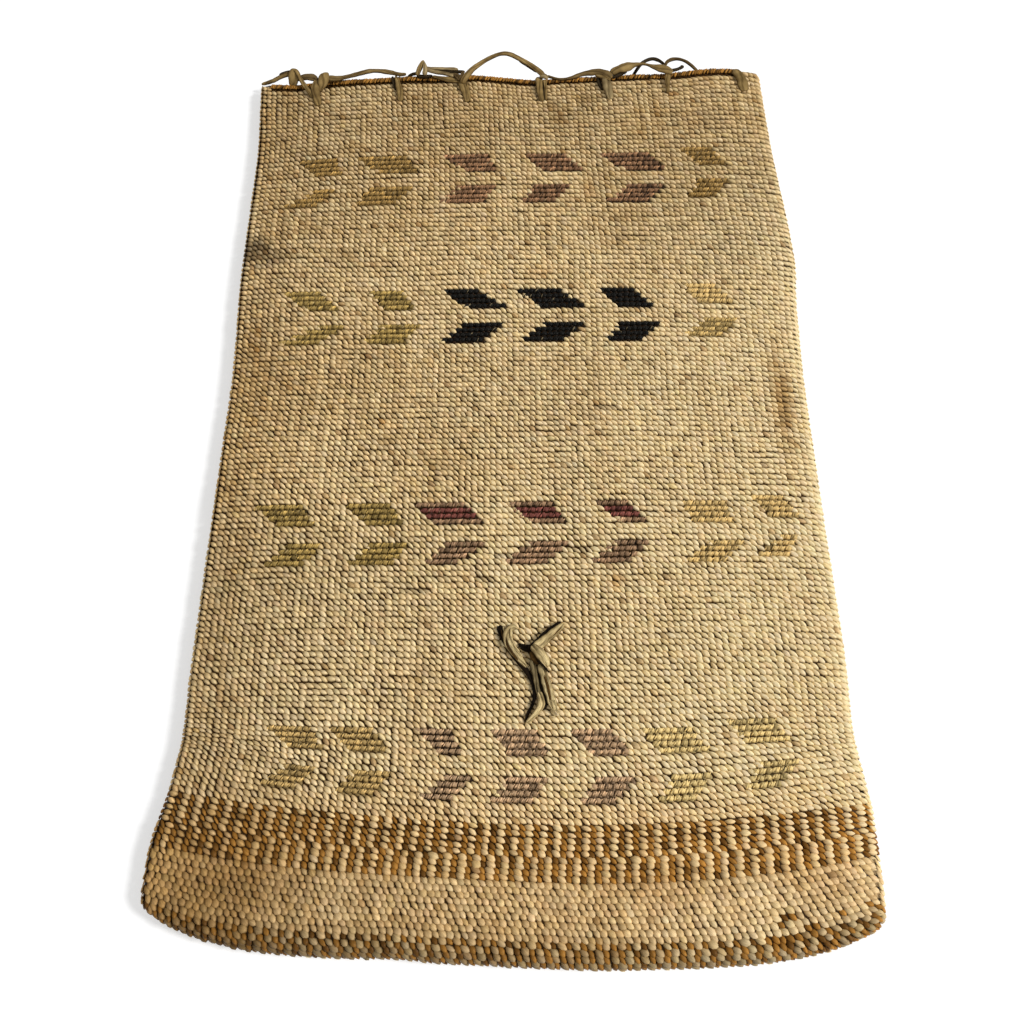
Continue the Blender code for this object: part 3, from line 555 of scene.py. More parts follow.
def along(down, u):
    """y of a row that is at down from the mouth in the middle."""
    share = down / LENGTH
    lift = TILT * smooth(TILT_SHARES, share) * u
    lift = lift + BOW * smooth(BOW_SHARES, share) * np.abs(u) ** smooth(BOW_POWERS, share)
    wave = smooth(RIM_WAVE, u) * MM * np.exp(-np.maximum(down, 0) / RIM_FADE)
    wave = wave + smooth(BASE_WAVE, u) * MM * np.exp(-np.maximum(LENGTH - down, 0) / BASE_FADE)
    return LENGTH / 2 - down + lift + wave


def swell(x, y):
    """The slow unevenness of the front wall."""
    return SWELL * sum(part * np.sin(x * kx + y * ky + phase) for part, kx, ky, phase in SWELL_WAVES)


def height(down, u, front, squeeze=1.0, inset=0.0):
    """z of a wall's outer face, or of a face inset below it."""
    share = np.clip(down / LENGTH, 0, 1)
    thick = THICKNESS * (END_SHARE + (1 - END_SHARE) * np.sin(np.pi * share))
    middle = FOLD_HEIGHT * thick
    u = np.clip(np.abs(u), 0, 1)
    if front:
        half = (thick - middle - inset) * (1 - u ** FRONT_POWER) ** FRONT_ROUND
    else:
        half = -(middle - inset) * (1 - u ** BACK_POWER) ** BACK_ROUND
    return middle + half * squeeze


def wall_grid(stops, columns, front, inset=0.0):
    """Points of one wall: a row of points for each stop along the rows' way, at each column."""
    u = np.sin(np.linspace(-np.pi / 2, np.pi / 2, SECTION_POINTS))
    over = np.clip((np.asarray(stops) - (LENGTH - BASE_FOLD)) / FOLD_RADIUS, 0, np.pi / 2)
    downs = np.where(over > 0, LENGTH - BASE_FOLD + BASE_FOLD * np.sin(over), stops)
    grid = np.empty((len(stops), len(columns), 3))
    for i, (down, turn) in enumerate(zip(downs, over)):
        x = across(down, u) * (1 - inset / (WIDTH / 2))
        z = height(down, u, front, math.cos(turn), inset)
        y = along(down, u) + inset * math.sin(turn)
        way = np.concatenate([[0], np.cumsum(np.hypot(np.diff(x), np.diff(z)))])
        part = np.asarray(columns) / COLUMNS
        at = (part + MIDDLE_CROWDING * np.sin(2 * np.pi * part) / (2 * np.pi)) * way[-1]
        grid[i] = np.stack([np.interp(at, way, v) for v in (x, y, z)], 1)
    if front:
        edge = 1 - np.clip(np.abs(grid[..., 0]) / (WIDTH / 2), 0, 1) ** SWELL_POWER
        grid[..., 2] += swell(grid[..., 0], grid[..., 1]) * edge * np.cos(over)[:, None]
    return grid


def row_edges():
    """Where the rows of twining meet, along the rows' way from the mouth over the base fold."""
    edges = [0.0]
    while edges[-1] < ROW_END:
        edges.append(edges[-1] + MEAN_PITCH * float(smooth(ROW_PITCH, edges[-1] / LENGTH)))
    return np.array(edges) * ROW_END / edges[-1]


EDGES = row_edges()
ROWS = len(EDGES) - 1
MIDDLES = (EDGES[1:] + EDGES[:-1]) / 2


def row_at(down):
    """The row that starts nearest to down."""
    return int(np.argmin(np.abs(EDGES - down)))


def shares(place):
    """Where places are on the wall: shares of the half width, and of the length from the mouth."""
    return place[..., 0] / (WIDTH / 2), 0.5 - place[..., 1] / LENGTH


def spot(x, y, above):
    """The point that the camera sees at x, y mm on the crown's plane, at mm above the front wall there."""
    ray = Vector((x * MM, y * MM, SIGHT.z)) - EYE
    z = SIGHT.z
    for _ in range(4):
        point = EYE + ray * ((z - EYE.z) / ray.z)
        down = float(np.clip(LENGTH / 2 - point.y, 0, LENGTH))
        z = float(height(down, point.x / (WIDTH / 2), True)) + above * MM
    return EYE + ray * ((z - EYE.z) / ray.z)


# Materials
def node_material(name, roughness):
    """A new material. Gives it, its nodes and its shader."""
    made = bpy.data.materials.new(name)
    made.use_nodes = True
    tree = made.node_tree
    shader = tree.nodes["Principled BSDF"]
    shader.inputs["Roughness"].default_value = roughness
    shader.inputs["Specular IOR Level"].default_value = GLOSS
    return made, tree, shader


def link(tree, source, out, target, into):
    """Links an output of one node to an input of another, by their names."""
    tree.links.new(source.outputs[out], target.inputs[into])


def levels(tree, source, low, high, to_low, to_high):
    """Maps a node's output from one range to another."""
    node = tree.nodes.new("ShaderNodeMapRange")
    tree.links.new(source, node.inputs["Value"])
    for key, value in (("From Min", low), ("From Max", high), ("To Min", to_low), ("To Max", to_high)):
        node.inputs[key].default_value = value
    return node


def attribute(tree, name):
    """Reads what mesh_piece has painted on the points."""
    node = tree.nodes.new("ShaderNodeAttribute")
    node.attribute_name = name
    return node


MATERIALS = {}  # by slot; the part's own materials have some of the same names, so none is found by name


def strand_material(name, fibre, roughness, bump, darkest):
    """Husk or hide: the colour painted stitch by stitch, with fine fibres that run along the strand."""
    made, tree, shader = node_material(name, roughness)
    streaks = tree.nodes.new("ShaderNodeTexNoise")
    for key, value in (("Scale", fibre), ("Detail", FIBRE_DETAIL), ("Roughness", FIBRE_ROUGHNESS)):
        streaks.inputs[key].default_value = value
    link(tree, attribute(tree, "grain"), "Vector", streaks, "Vector")
    shade = levels(tree, streaks.outputs["Fac"], 0.3, 0.7, darkest, FIBRE_PALEST)
    colour = tree.nodes.new("ShaderNodeVectorMath")
    colour.operation = "SCALE"
    link(tree, attribute(tree, "tint"), "Color", colour, 0)
    link(tree, shade, "Result", colour, "Scale")
    link(tree, colour, "Vector", shader, "Base Color")
    rough = levels(tree, streaks.outputs["Fac"], 0.2, 0.8, roughness - 0.12, roughness + 0.1)
    link(tree, rough, "Result", shader, "Roughness")
    relief = tree.nodes.new("ShaderNodeBump")
    relief.inputs["Strength"].default_value = BUMP_STRENGTH
    relief.inputs["Distance"].default_value = bump
    link(tree, streaks, "Fac", relief, "Height")
    link(tree, relief, "Normal", shader, "Normal")
    return made


# Pieces
def mesh_piece(name, group, slot, node):
    """A piece on the root body, in the place of a node of the part.

    Its group is its points, an integer array of faces for each face size, and a colour and a place
    among the fibres for each point.
    """
    points, faces, tint, grain = group
    points = np.maximum(points, [-1, -1, LOWEST])
    mesh = bpy.data.meshes.new(name)
    sizes = np.concatenate([np.full(len(f), f.shape[1]) for f in faces])
    corners = np.concatenate([f.ravel() for f in faces]).astype(np.int32)
    mesh.vertices.add(len(points))
    mesh.vertices.foreach_set("co", np.ascontiguousarray(points, np.float32).ravel())
    mesh.loops.add(len(corners))
    mesh.loops.foreach_set("vertex_index", corners)
    mesh.polygons.add(len(sizes))
    mesh.polygons.foreach_set("loop_start", np.concatenate([[0], np.cumsum(sizes)[:-1]]).astype(np.int32))
    mesh.update(calc_edges=True)
    mesh.validate()
    mesh.shade_smooth()
    tint = np.maximum(tint, 0) / np.maximum(1, tint.max(axis=1, keepdims=True) / PALEST)
    tint = np.concatenate([tint, np.ones((len(tint), 1))], 1)
    for key, kind, field, values in (("tint", "FLOAT_COLOR", "color", tint),
                                     ("grain", "FLOAT_VECTOR", "vector", grain)):
        layer = mesh.attributes.new(key, kind, "POINT")
        layer.data.foreach_set(field, values.astype(np.float32).ravel())
    mesh.materials.append(MATERIALS[slot])
    piece = bpy.data.objects.new(name, mesh)
    bpy.context.scene.collection.objects.link(piece)
    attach(piece, "root")
    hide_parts(node)
    return piece


def joined(groups):
    """Several groups of points, faces, colours and places among the fibres as one."""
    points, faces, tints, grains = zip(*groups)
    starts = np.cumsum([0, *(len(p) for p in points[:-1])])
    faces = [np.concatenate([of_group[k] + start for of_group, start in zip(faces, starts)]) for k in (0, 1)]
    return np.concatenate(points), faces, np.concatenate(tints), np.concatenate(grains)


def tube_faces(count, sides):
    """Faces of a tube of count rings and a tip at each end. The tips are the last two points."""
    n = np.arange(sides)
    m = (n + 1) % sides
    start = np.arange(count - 1)[:, None] * sides
    quads = np.stack([start + n, start + m, start + m + sides, start + n + sides], 2).reshape(-1, 4)
    last, tip = (count - 1) * sides, count * sides
    tris = np.concatenate([np.stack([m, n, np.full(sides, tip)], 1),
                           np.stack([n + last, m + last, np.full(sides, tip + 1)], 1)])
    return [quads, tris]


# Twining
def bead_template(sides):
    """A plump leaf on the unit disc: two rings and a top. Gives (p, q, height), faces and shades."""
    turn = np.arange(sides) * 2 * np.pi / sides
    leaf = np.stack([np.cos(turn), np.sin(turn) * np.abs(np.sin(turn)) ** LEAF_POWER], 1)
    rings = [np.c_[leaf * size + [shift, 0], np.full(sides, rise)] for size, shift, rise, _ in BEAD_RINGS]
    shift, rise, shade = BEAD_TOP
    points = np.concatenate([*rings, [[shift, 0, rise]]])
    shades = np.append(np.repeat([ring[-1] for ring in BEAD_RINGS], sides), shade)
    a = np.arange(sides)
    b = (a + 1) % sides
    quads = np.stack([a, b, b + sides, a + sides], 1)
    tops = np.stack([a + sides, b + sides, np.full(sides, 2 * sides)], 1)
    return points, quads, tops, shades


def beads(place, right, down, out, long, short, tall, angle, colour, sides, seed, lean=0.0, egg=0.0,
          painted_light=0.1):
    """Many beads at once. Each lies at its place on a wall, turned by angle from right towards down.

    Its far end is raised by lean and broader by the share egg, so that it laps over the next one. The last
    argument is a share of painted light: the far end is painted paler, and the near end darker as painted
    shade.
    """
    template, quads, tops, shades = bead_template(sides)
    p, q, h = template.T
    c, s = np.cos(angle)[:, None], np.sin(angle)[:, None]
    run, side = long[:, None] * p, short[:, None] * q * (1 + egg * p)
    x, y, z = run * c - side * s, run * s + side * c, tall[:, None] * h + lean * p
    points = (place[:, None] + right[:, None] * x[..., None] + down[:, None] * y[..., None]
              + out[:, None] * z[..., None])
    start = (np.arange(len(place)) * len(template))[:, None, None]
    # painted shade at each bead's foot and near end, and painted light on its top and far end
    tint = colour[:, None] * (shades * (1 + painted_light * p))[None, :, None] ** SHADE_POWERS
    own = np.random.default_rng(seed).uniform(0, GRAIN_SPREAD, (len(place), 1))
    mean = long.mean()
    grain = np.stack([run / mean * GRAIN_ALONG + own, side / mean * GRAIN_ACROSS + own,
                      np.broadcast_to(own, run.shape)], 2)
    return (points.reshape(-1, 3), [(quads + start).reshape(-1, 4), (tops + start).reshape(-1, 3)],
            tint.reshape(-1, 3), grain.reshape(-1, 3))


def cell_frames(front):
    """For each stitch of a wall: its place, its unit vectors across, down and out, and its two pitches."""
    stops = np.sort(np.concatenate([EDGES, MIDDLES]))
    grid = wall_grid(stops, np.arange(2 * COLUMNS + 1) / 2, front)
    right = grid[1::2, 2::2] - grid[1::2, :-1:2]
    down = grid[2::2, 1::2] - grid[:-1:2, 1::2]
    wide = np.linalg.norm(right, axis=2)
    out = unit(np.cross(down, right)) * (1 if front else -1)
    right = unit(right)
    down = down - np.sum(down * right, axis=2)[..., None] * right  # the rows climb at the base corners
    return grid[1::2, 1::2], right, unit(down), out, wide, np.linalg.norm(down, axis=2)


def drift(shape, step, seed):
    """Smooth noise over the rows and columns, about -1 to 1."""
    coarse = np.random.default_rng(seed).normal(0, 1, [int(n / s) + 3 for n, s in zip(shape, step)])
    at_row, at_column = (np.arange(n) / s for n, s in zip(shape, step))
    i, j = at_row.astype(int), at_column.astype(int)
    a, b = ramp(0, 1, at_row - i)[:, None], ramp(0, 1, at_column - j)
    across_rows = coarse[i] * (1 - a) + coarse[i + 1] * a
    return across_rows[:, j] * (1 - b) + across_rows[:, j + 1] * b


def patches(table, u, share):
    """The sum of a table of patches, at shares of the half width and of the length."""
    total = 0
    for amount, *stretches in table:
        for way, low, high in stretches:
            amount = amount * ramp(low, high, u if way == "across" else share)
        total = total + amount
    return total


def stained(colour, strength, left):
    """The colour where strength of it is brought down to what is left of each channel."""
    return colour * (1 - strength[..., None] * (1 - np.array(left)))


def husk_colours(place, front, rng):
    """Each stitch's colour: greyer at the left and near the mouth, paler to the right and below."""
    u, share = shares(place)
    shape = u.shape
    if front:
        pale = patches(PALENESS, u, share) + u * patches(PALER_TO_RIGHT, u, share)
    else:
        pale = BACK_PALENESS + BACK_PALER_TO_RIGHT * u
    for amount, step, seed in DRIFTS:
        pale = pale + amount * drift(shape, step, seed)
    t = np.clip(pale + rng.normal(0, HUSK_SPREAD, shape), -0.25, 1.3)[..., None]
    colour = HUSK_DULL * (1 - t) + HUSK_PALE * t
    odd = rng.random(shape)[..., None]
    colour = np.where(odd < STRAY_BROWN, colour * 0.45 + BROWN * 0.4, colour)
    colour = np.where(odd > STRAY_PALE, colour * 1.12, colour)
    if front:
        for x, y, wide, tall, strength, left in STAINS:
            reach = np.hypot((place[..., 0] / MM - x) / wide, (place[..., 1] / MM - y) / tall)
            reach = reach + rng.normal(0, STAIN_SPREAD, shape)
            colour = stained(colour, strength * ramp(*STAIN_EDGE, reach), left)
        colour = stained(colour, ramp(*GOLDEN_FROM, share), GOLDEN)
        last = ramp(ROWS - LAST_ROWS[0], ROWS - LAST_ROWS[1], np.indices(shape)[0])
        bright = FRONT_LIGHT * (patches(BRIGHTNESS, u, share) - LAST_ROWS_DARKER * last)
        # with painted light round the folds
        colour = colour * (bright + patches(FOLD_PAINTED_LIGHT, u, share))[..., None]
    warm, blue, light = (rng.normal(0, spread, shape)[..., None] for spread in (1, 0.035, 0.06))
    return colour * (1 + light + warm * WARMTH + blue * [0, 0, 1])


def brown_stitches(shape, rng, place):
    """Which stitches are twined in brown husk, and which lie in the banded rows."""
    rows, columns = np.indices(shape)
    first = row_at(BAND_START)
    upper = (rows >= first) & (rows < first + BAND_UPPER)
    lower = (rows >= first + BAND_UPPER) & (rows < first + BAND_UPPER + BAND_LOWER)
    brown = (upper & (columns % 2 == 0)) | (lower & (columns % 2 == 1))
    base = rows >= ROWS - BASE_BAND_ROWS
    brown |= base & ((columns + rows // 2) % 2 == 0)
    corner = (place[..., 0] > STRAY_X) & (place[..., 1] < STRAY_Y) & (rows > first + STRAY_ROW)
    brown |= corner & (rng.random(shape) < STRAY_SHARE)
    return brown, upper | lower | base


def motif_colour(name, half, row):
    """The husk of one row in a motif's upper half (0) or lower half (1)."""
    if name == "wine" and half == 0 and 0 < row < HALF_ROWS - 1:
        return WINE
    if name == "tan" and half == 1:
        return (OLIVE + OCHRE) / 2
    return MOTIF_COLOURS[name]


def embroidered_rows():
    """The stretches of embroidery: row, left and right end, their colour and the painted shade of the
    stitches below.
    """
    stretches = []
    for start, motifs in MOTIF_BANDS:
        for half in (0, 1):
            first = row_at(start) + half * (HALF_ROWS + ROWS_BETWEEN)
            for k, (name, *spans) in enumerate(motifs):
                raised = k == len(motifs) - 1
                top, bottom = np.array(spans[2 * half:2 * half + 2]) * MM
                for row in range(HALF_ROWS):
                    t = row / (HALF_ROWS - 1)
                    colour = motif_colour(name, half, row)
                    under = colour * FAINT_SHADE if name in FAINT else UNDER_WRAPS_SHADE
                    stretches.append((first + row - raised, *(top * (1 - t) + bottom * t), colour, under))
    return stretches


def wall_stitches(front, sides, seed, stretches=()):
    """The twining of one wall: its frames, and a function that gives the beads of some of its rows."""
    place, right, down, out, wide, tall = frames = cell_frames(front)
    shape = wide.shape
    rng = np.random.default_rng(seed)
    rows, columns = np.indices(shape)
    u, share = shares(place)
    colour = husk_colours(place, front, rng)
    brown, banded = brown_stitches(shape, rng, place)
    toned = np.where(rng.random(shape)[..., None] < 1 - DARK_SHARE, BROWN, BROWN_DARK)
    toned = toned * rng.uniform(*BROWN_SPREAD, shape)[..., None]
    toned = toned * (patches(BROWN_TONE, u, share) + BROWN_PALER_TO_RIGHT * u)[..., None]
    colour = np.where(brown[..., None], toned, colour)

    kind = np.where(brown, 0, np.where(banded, BETWEEN, PLAIN))
    turned, longer, broader, higher = np.moveaxis(STITCH_KINDS[kind], 2, 0)
    diagonal = np.hypot(wide, tall)
    fold = ramp(*NEAR_FOLD, share)
    turned = turned + patches(STITCH_TURN, u, share) + rng.normal(0, TURN_SPREAD, shape)
    turned = turned + TURN_WANDER * drift(shape, (5, 5), seed + 5)
    angle = np.arctan2(tall, wide) + np.radians(turned)
    fuller = 1 + FULL_WANDER * (1 - 2 * (columns % 2)) * np.clip(drift(shape, (14, 10), seed + 4), -1, 1)
    long = diagonal * patches(STITCH_LONG, u, share) * longer * fuller ** 0.5
    long *= rng.normal(1, LONG_SPREAD, shape)
    short = wide * tall / diagonal * patches(STITCH_SHORT, u, share) * broader * fuller
    short *= rng.normal(1, SHORT_SPREAD, shape) + FOLD_SPREAD * fold * rng.normal(0, 1, shape)
    high = BEAD_HEIGHT * higher * rng.normal(1, HIGH_SPREAD, shape)
    high *= 1 + HIGH_WANDER * drift(shape, (3, 3), seed + 1)
    high *= (1 - FOLD_FLATTER * fold * (kind == PLAIN)) * (1 - SIDE_FLATTER * ramp(*SIDE_FROM, np.abs(u)))
    slip = SEAT_SPREAD * drift(shape, (1, 5), seed + 2) + rng.normal(0, SEAT_SPREAD, shape)
    aside = SEAT_SPREAD * drift(shape, (7, 1), seed + 3) + rng.normal(0, SEAT_SPREAD, shape)
    slip += SEAT_WANDER * drift(shape, (9, 22), seed + 6)
    every_second = FOLD_ASIDE * fold * (1 - 2 * (rows % 2))
    aside += (SEAT_WANDER * drift(shape, (22, 9), seed + 7) + every_second) * ~banded
    seat = place - out * BEAD_SINK + right * (aside * wide)[..., None] + down * (slip * tall)[..., None]
    bound = np.arange(COLUMNS) + 0.5
    bound = (bound > BINDING_FROM) & (bound < BINDING_TO)
    high[0, bound] *= BOUND_HEIGHT
    # the stitches under the overcast edge are painted in the crevices' shade
    colour[0, bound] = CREVICE_SHADE

    for start, end, y in SLIPPED if front else ():
        column = np.argmin(np.abs(place[ROWS // 2, :, 0] / MM - (start + end) / 2))
        row = np.argmin(np.abs(place[:, column, 1] / MM - y))
        loose = (place[row, :, 0] > start * MM) & (place[row, :, 0] < end * MM)
        short[row, loose] *= SLIP_NARROWER
        seat[row, loose] += down[row, loose] * (SLIP * tall[row, loose])[:, None]
        colour[row, loose] *= SLIP_DARKER

    # under the wraps the stitches are pressed down and painted in the shade between the wraps
    for row, start, end, _, under in stretches:
        covered = (place[row, :, 0] > start + WRAP_MARGIN) & (place[row, :, 0] < end - WRAP_MARGIN)
        colour[row, covered] = under
        seat[row, covered] -= out[row, covered] * WRAP_DEPTH

    def beads_of(first, last):
        """The beads of the rows from first up to last."""
        some = (values[first:last].reshape(-1, *values.shape[2:])
                for values in (seat, right, down, out, long, short, high, angle, colour))
        return beads(*some, sides, seed + first, BEAD_LEAN, BEAD_EGG, BEAD_PAINTED_LIGHT)

    return frames, beads_of


def embroidery(frames, stretches):
    """Overlaid wraps: a round puff over each stitch, and on it fine fibres slanting against the twining."""
    place, right, down, out, _, tall = frames
    rng = np.random.default_rng(WRAP_SEED)
    groups = []
    for row, start, end, colour, _ in stretches:
        wraps = max(2, round((end - start) / WRAP_PITCH))
        step = (end - start) / wraps
        fibre = np.tile(np.append(0, np.arange(FIBRES) - (FIBRES - 1) / 2), wraps)
        puff = np.tile(np.arange(FIBRES + 1) == 0, wraps)
        count = len(fibre)
        middle = np.repeat(np.arange(wraps) + 0.5, FIBRES + 1) * step
        x = start + middle + (fibre / FIBRES + rng.normal(0, 0.05, count)) * step
        column = np.interp(x, place[row, :, 0], np.arange(COLUMNS))
        k = np.clip(column.astype(int), 0, COLUMNS - 2)
        t = (column - k)[:, None]

        def at(values):
            """Values of the row's stitches, at each fibre."""
            return values[row, k] * (1 - t) + values[row, k + 1] * t

        pitch = tall[row, k]
        own = np.repeat(rng.normal(1, 0.22, wraps), FIBRES + 1)
        own = own * np.where(puff, PUFF_SHADE, rng.normal(FIBRE_SHADE, 0.36, count))
        tone = colour * WRAP_LIGHT * own[:, None]
        worn = ((rng.random(count) < WORN_SHARE) & ~puff)[:, None]
        tone = np.where(worn, tone * 0.7 + HUSK_PALE * 0.2, tone)
        hump = 1 - FIBRE_HUMP * np.abs(fibre)
        sunk = BEAD_SINK - np.where(puff, PUFF_RAISED, FIBRE_RAISED * hump)
        aside = pitch * np.where(puff, 0, FIBRE_FAN * fibre + rng.normal(0, 0.04, count))
        seat = at(place) - at(out) * sunk[:, None] - at(down) * aside[:, None]
        length = (FIBRE_LONG + FIBRE_LONGER * hump) * rng.normal(1, 0.1, count)
        long = pitch * np.where(puff, PUFF_LONG, length)
        short = step * np.where(puff, PUFF_SHORT, FIBRE_SHORT * rng.normal(1, 0.16, count))
        high = WRAP_HEIGHT * np.where(puff, 1, FIBRE_HIGH * hump) * rng.normal(1, 0.07, count)
        angle = np.radians(np.where(puff, PUFF_TURN, FIBRE_TURN) + rng.normal(0, 7, count))
        groups.append((seat, at(right), at(down), at(out), long, short, high, angle, tone))
    return beads(*(np.concatenate(values) for values in zip(*groups)), WRAP_SIDES, FIBRE_SEED)


def ground():
    """The ground that the stitches sit on, and the inside of both walls, closed at the mouth's lip."""
    stops = np.concatenate([EDGES[:-1:2], [ROW_END]])
    columns = np.arange(0, COLUMNS + 1, 2)
    tall, broad = len(stops), len(columns)
    i, j = (a.ravel() for a in np.meshgrid(np.arange(tall - 1), np.arange(broad - 1), indexing="ij"))
    a = i * broad + j
    cells = np.stack([a, a + broad, a + broad + 1, a + 1], 1)
    points, quads, lips, tints = [], [], [], []
    for front in (True, False):
        outer = len(points) * tall * broad + np.arange(broad - 1)
        inner = outer + tall * broad
        lip = np.stack([outer, outer + 1, inner + 1, inner], 1)
        lips.append(lip if front else lip[:, ::-1])
        # the ground under the stitches is painted in the crevices' shade; the walls' inside is dull husk
        for inset, colour in ((BACKING, CREVICE_SHADE), (WALL, HUSK_DULL * 0.8)):
            outward = cells if front == (inset == BACKING) else cells[:, ::-1]
            quads.append(outward + len(points) * tall * broad)
            points.append(wall_grid(stops, columns, front, inset).reshape(-1, 3))
            tints.append(np.tile(colour, (tall * broad, 1)))
    points = np.concatenate(points)
    return points, [np.concatenate(quads + lips)], np.concatenate(tints), points * 300


def build_bag():
    """The twining of both walls, in stretches of rows, the embroidery, and the ground under them."""
    stretches = embroidered_rows()
    frames, front_beads = wall_stitches(True, FRONT_SIDES, FRONT_SEED, stretches)
    _, back_beads = wall_stitches(False, BACK_SIDES, BACK_SEED)
    for wall, beads_of, parts in (("front", front_beads, ("mouth", "middle", "base")),
                                  ("back", back_beads, ("mouth", "base"))):
        stops = np.linspace(0, ROWS, len(parts) + 1).astype(int)
        for part, first, last in zip(parts, stops, stops[1:]):
            mesh_piece(f"{wall}_twining_{part}", beads_of(first, last), "husk", "bag_body")
    mesh_piece("false_embroidery", embroidery(frames, stretches), "husk", "bag_body")
    piece = mesh_piece("wall_ground", ground(), "husk", "bag_body")
    piece.modifiers.new("weld", "WELD").merge_threshold = WELD_REACH


# The edge
def tube(path, radius, colour, own):
    """A round strand along a path, with pointed ends. own is its place among the fibres."""
    count = len(path)
    tangent = unit(np.gradient(path, axis=0))
    axis = np.cross(path[-1] - path[0], path[count // 2] - path[0])
    axis /= np.linalg.norm(axis) + 1e-12
    turn = np.arange(BINDING_SIDES) * 2 * np.pi / BINDING_SIDES
    ring = (np.cross(tangent, axis)[:, None] * np.cos(turn)[None, :, None]
            + axis * np.sin(turn)[None, :, None])
    points = (path[:, None] + ring * radius).reshape(-1, 3)
    tips = path[[0, -1]] + tangent[[0, -1]] * [[-radius / 2], [radius / 2]]
    along = np.concatenate([np.repeat(np.arange(count) * 0.4, BINDING_SIDES), [0, count * 0.4]])
    round_it = np.concatenate([np.tile(np.cos(turn) * 2, count), [0, 0]])
    grain = np.stack([along + own, round_it + own, np.zeros_like(along)], 1)
    return (np.concatenate([points, tips]), tube_faces(count, BINDING_SIDES),
            np.tile(colour, (len(points) + 2, 1)), grain)


def binding():
    """Overcast wraps of brown husk over the edge of each wall, all round the mouth, on a core painted in the
    shade between them.
    """
    rng = np.random.default_rng(BINDING_SEED)
    columns = np.arange(BINDING_FROM, BINDING_TO, BINDING_STEP)
    bend = WALL / 2 + BINDING_LIFT
    tones, frequency = zip(*BINDING_TONES)
    wraps = []
    for front in (True, False):
        grid = wall_grid(np.linspace(0, BINDING_REACH, 4), columns, front)
        up = unit(grid[0] - grid[-1])
        right = unit(np.gradient(grid[0], axis=0))
        out = np.cross(right, up) * (1 if front else -1)
        # the core is coloured as painted shade, which shows between the wraps
        wraps.append(tube(grid[0] - out * WALL / 2, BINDING_CORE, BINDING * 0.3, 3))
        for k, (u, r, o) in enumerate(zip(up, right, out)):
            middle = grid[0, k] - o * WALL / 2
            lip = middle + (u * np.sin(BINDING_RISE) + o * np.cos(BINDING_RISE)) * bend
            inner = middle - o * bend - u * BINDING_INSIDE
            path = np.concatenate([grid[::-1, k] + o * BINDING_LIFT, lip, inner])
            slant = np.linspace(-1, 1, len(path)) * BINDING_SLANT * rng.uniform(0.5, 1.5)
            path = path + r * slant[:, None] - u * rng.uniform(0, BINDING_DROP)
            tone = BINDING * rng.choice(tones, p=frequency)
            radius = BINDING_RADIUS * rng.uniform(0.8, 1.2)
            wraps.append(tube(path, radius, tone, rng.uniform(0, GRAIN_SPREAD)))
    return joined(wraps)


# The strips of hide
def catmull(points, count):
    """count points a step apart on a smooth curve through rows of values."""
    points = np.asarray(points, float)
    ends = np.concatenate([[2 * points[0] - points[1]], points, [2 * points[-1] - points[-2]]])
    fine = []
    for a, b, c, d in zip(ends, ends[1:], ends[2:], ends[3:]):
        t = np.linspace(0, 1, CURVE_STEPS, endpoint=False)[:, None]
        fine.append(0.5 * (2 * b + (c - a) * t + (2 * a - 5 * b + 4 * c - d) * t ** 2
                           + (3 * b - a - 3 * c + d) * t ** 3))
    fine = np.concatenate(fine + [points[-1:]])
    way = np.concatenate([[0], np.cumsum(np.linalg.norm(np.diff(fine[:, :3], axis=0), axis=1))])
    at = np.linspace(0, way[-1], count)
    return np.stack([np.interp(at, way, column) for column in fine.T], 1), way[-1]


def flat_normals(tangent):
    """Unit normals of a strip that looks towards STRIP_FACING, carried on where it points that way."""
    normals = []
    for t in tangent:
        flat = STRIP_FACING - t * (STRIP_FACING @ t)
        if normals:
            carried = normals[-1] - t * (normals[-1] @ t)
            weight = min(1, np.linalg.norm(flat) ** 2)
            flat = flat * weight * np.sign(flat @ carried + 1e-9) + carried * (1 - weight)
        normals.append(unit(flat))
    return np.array(normals)


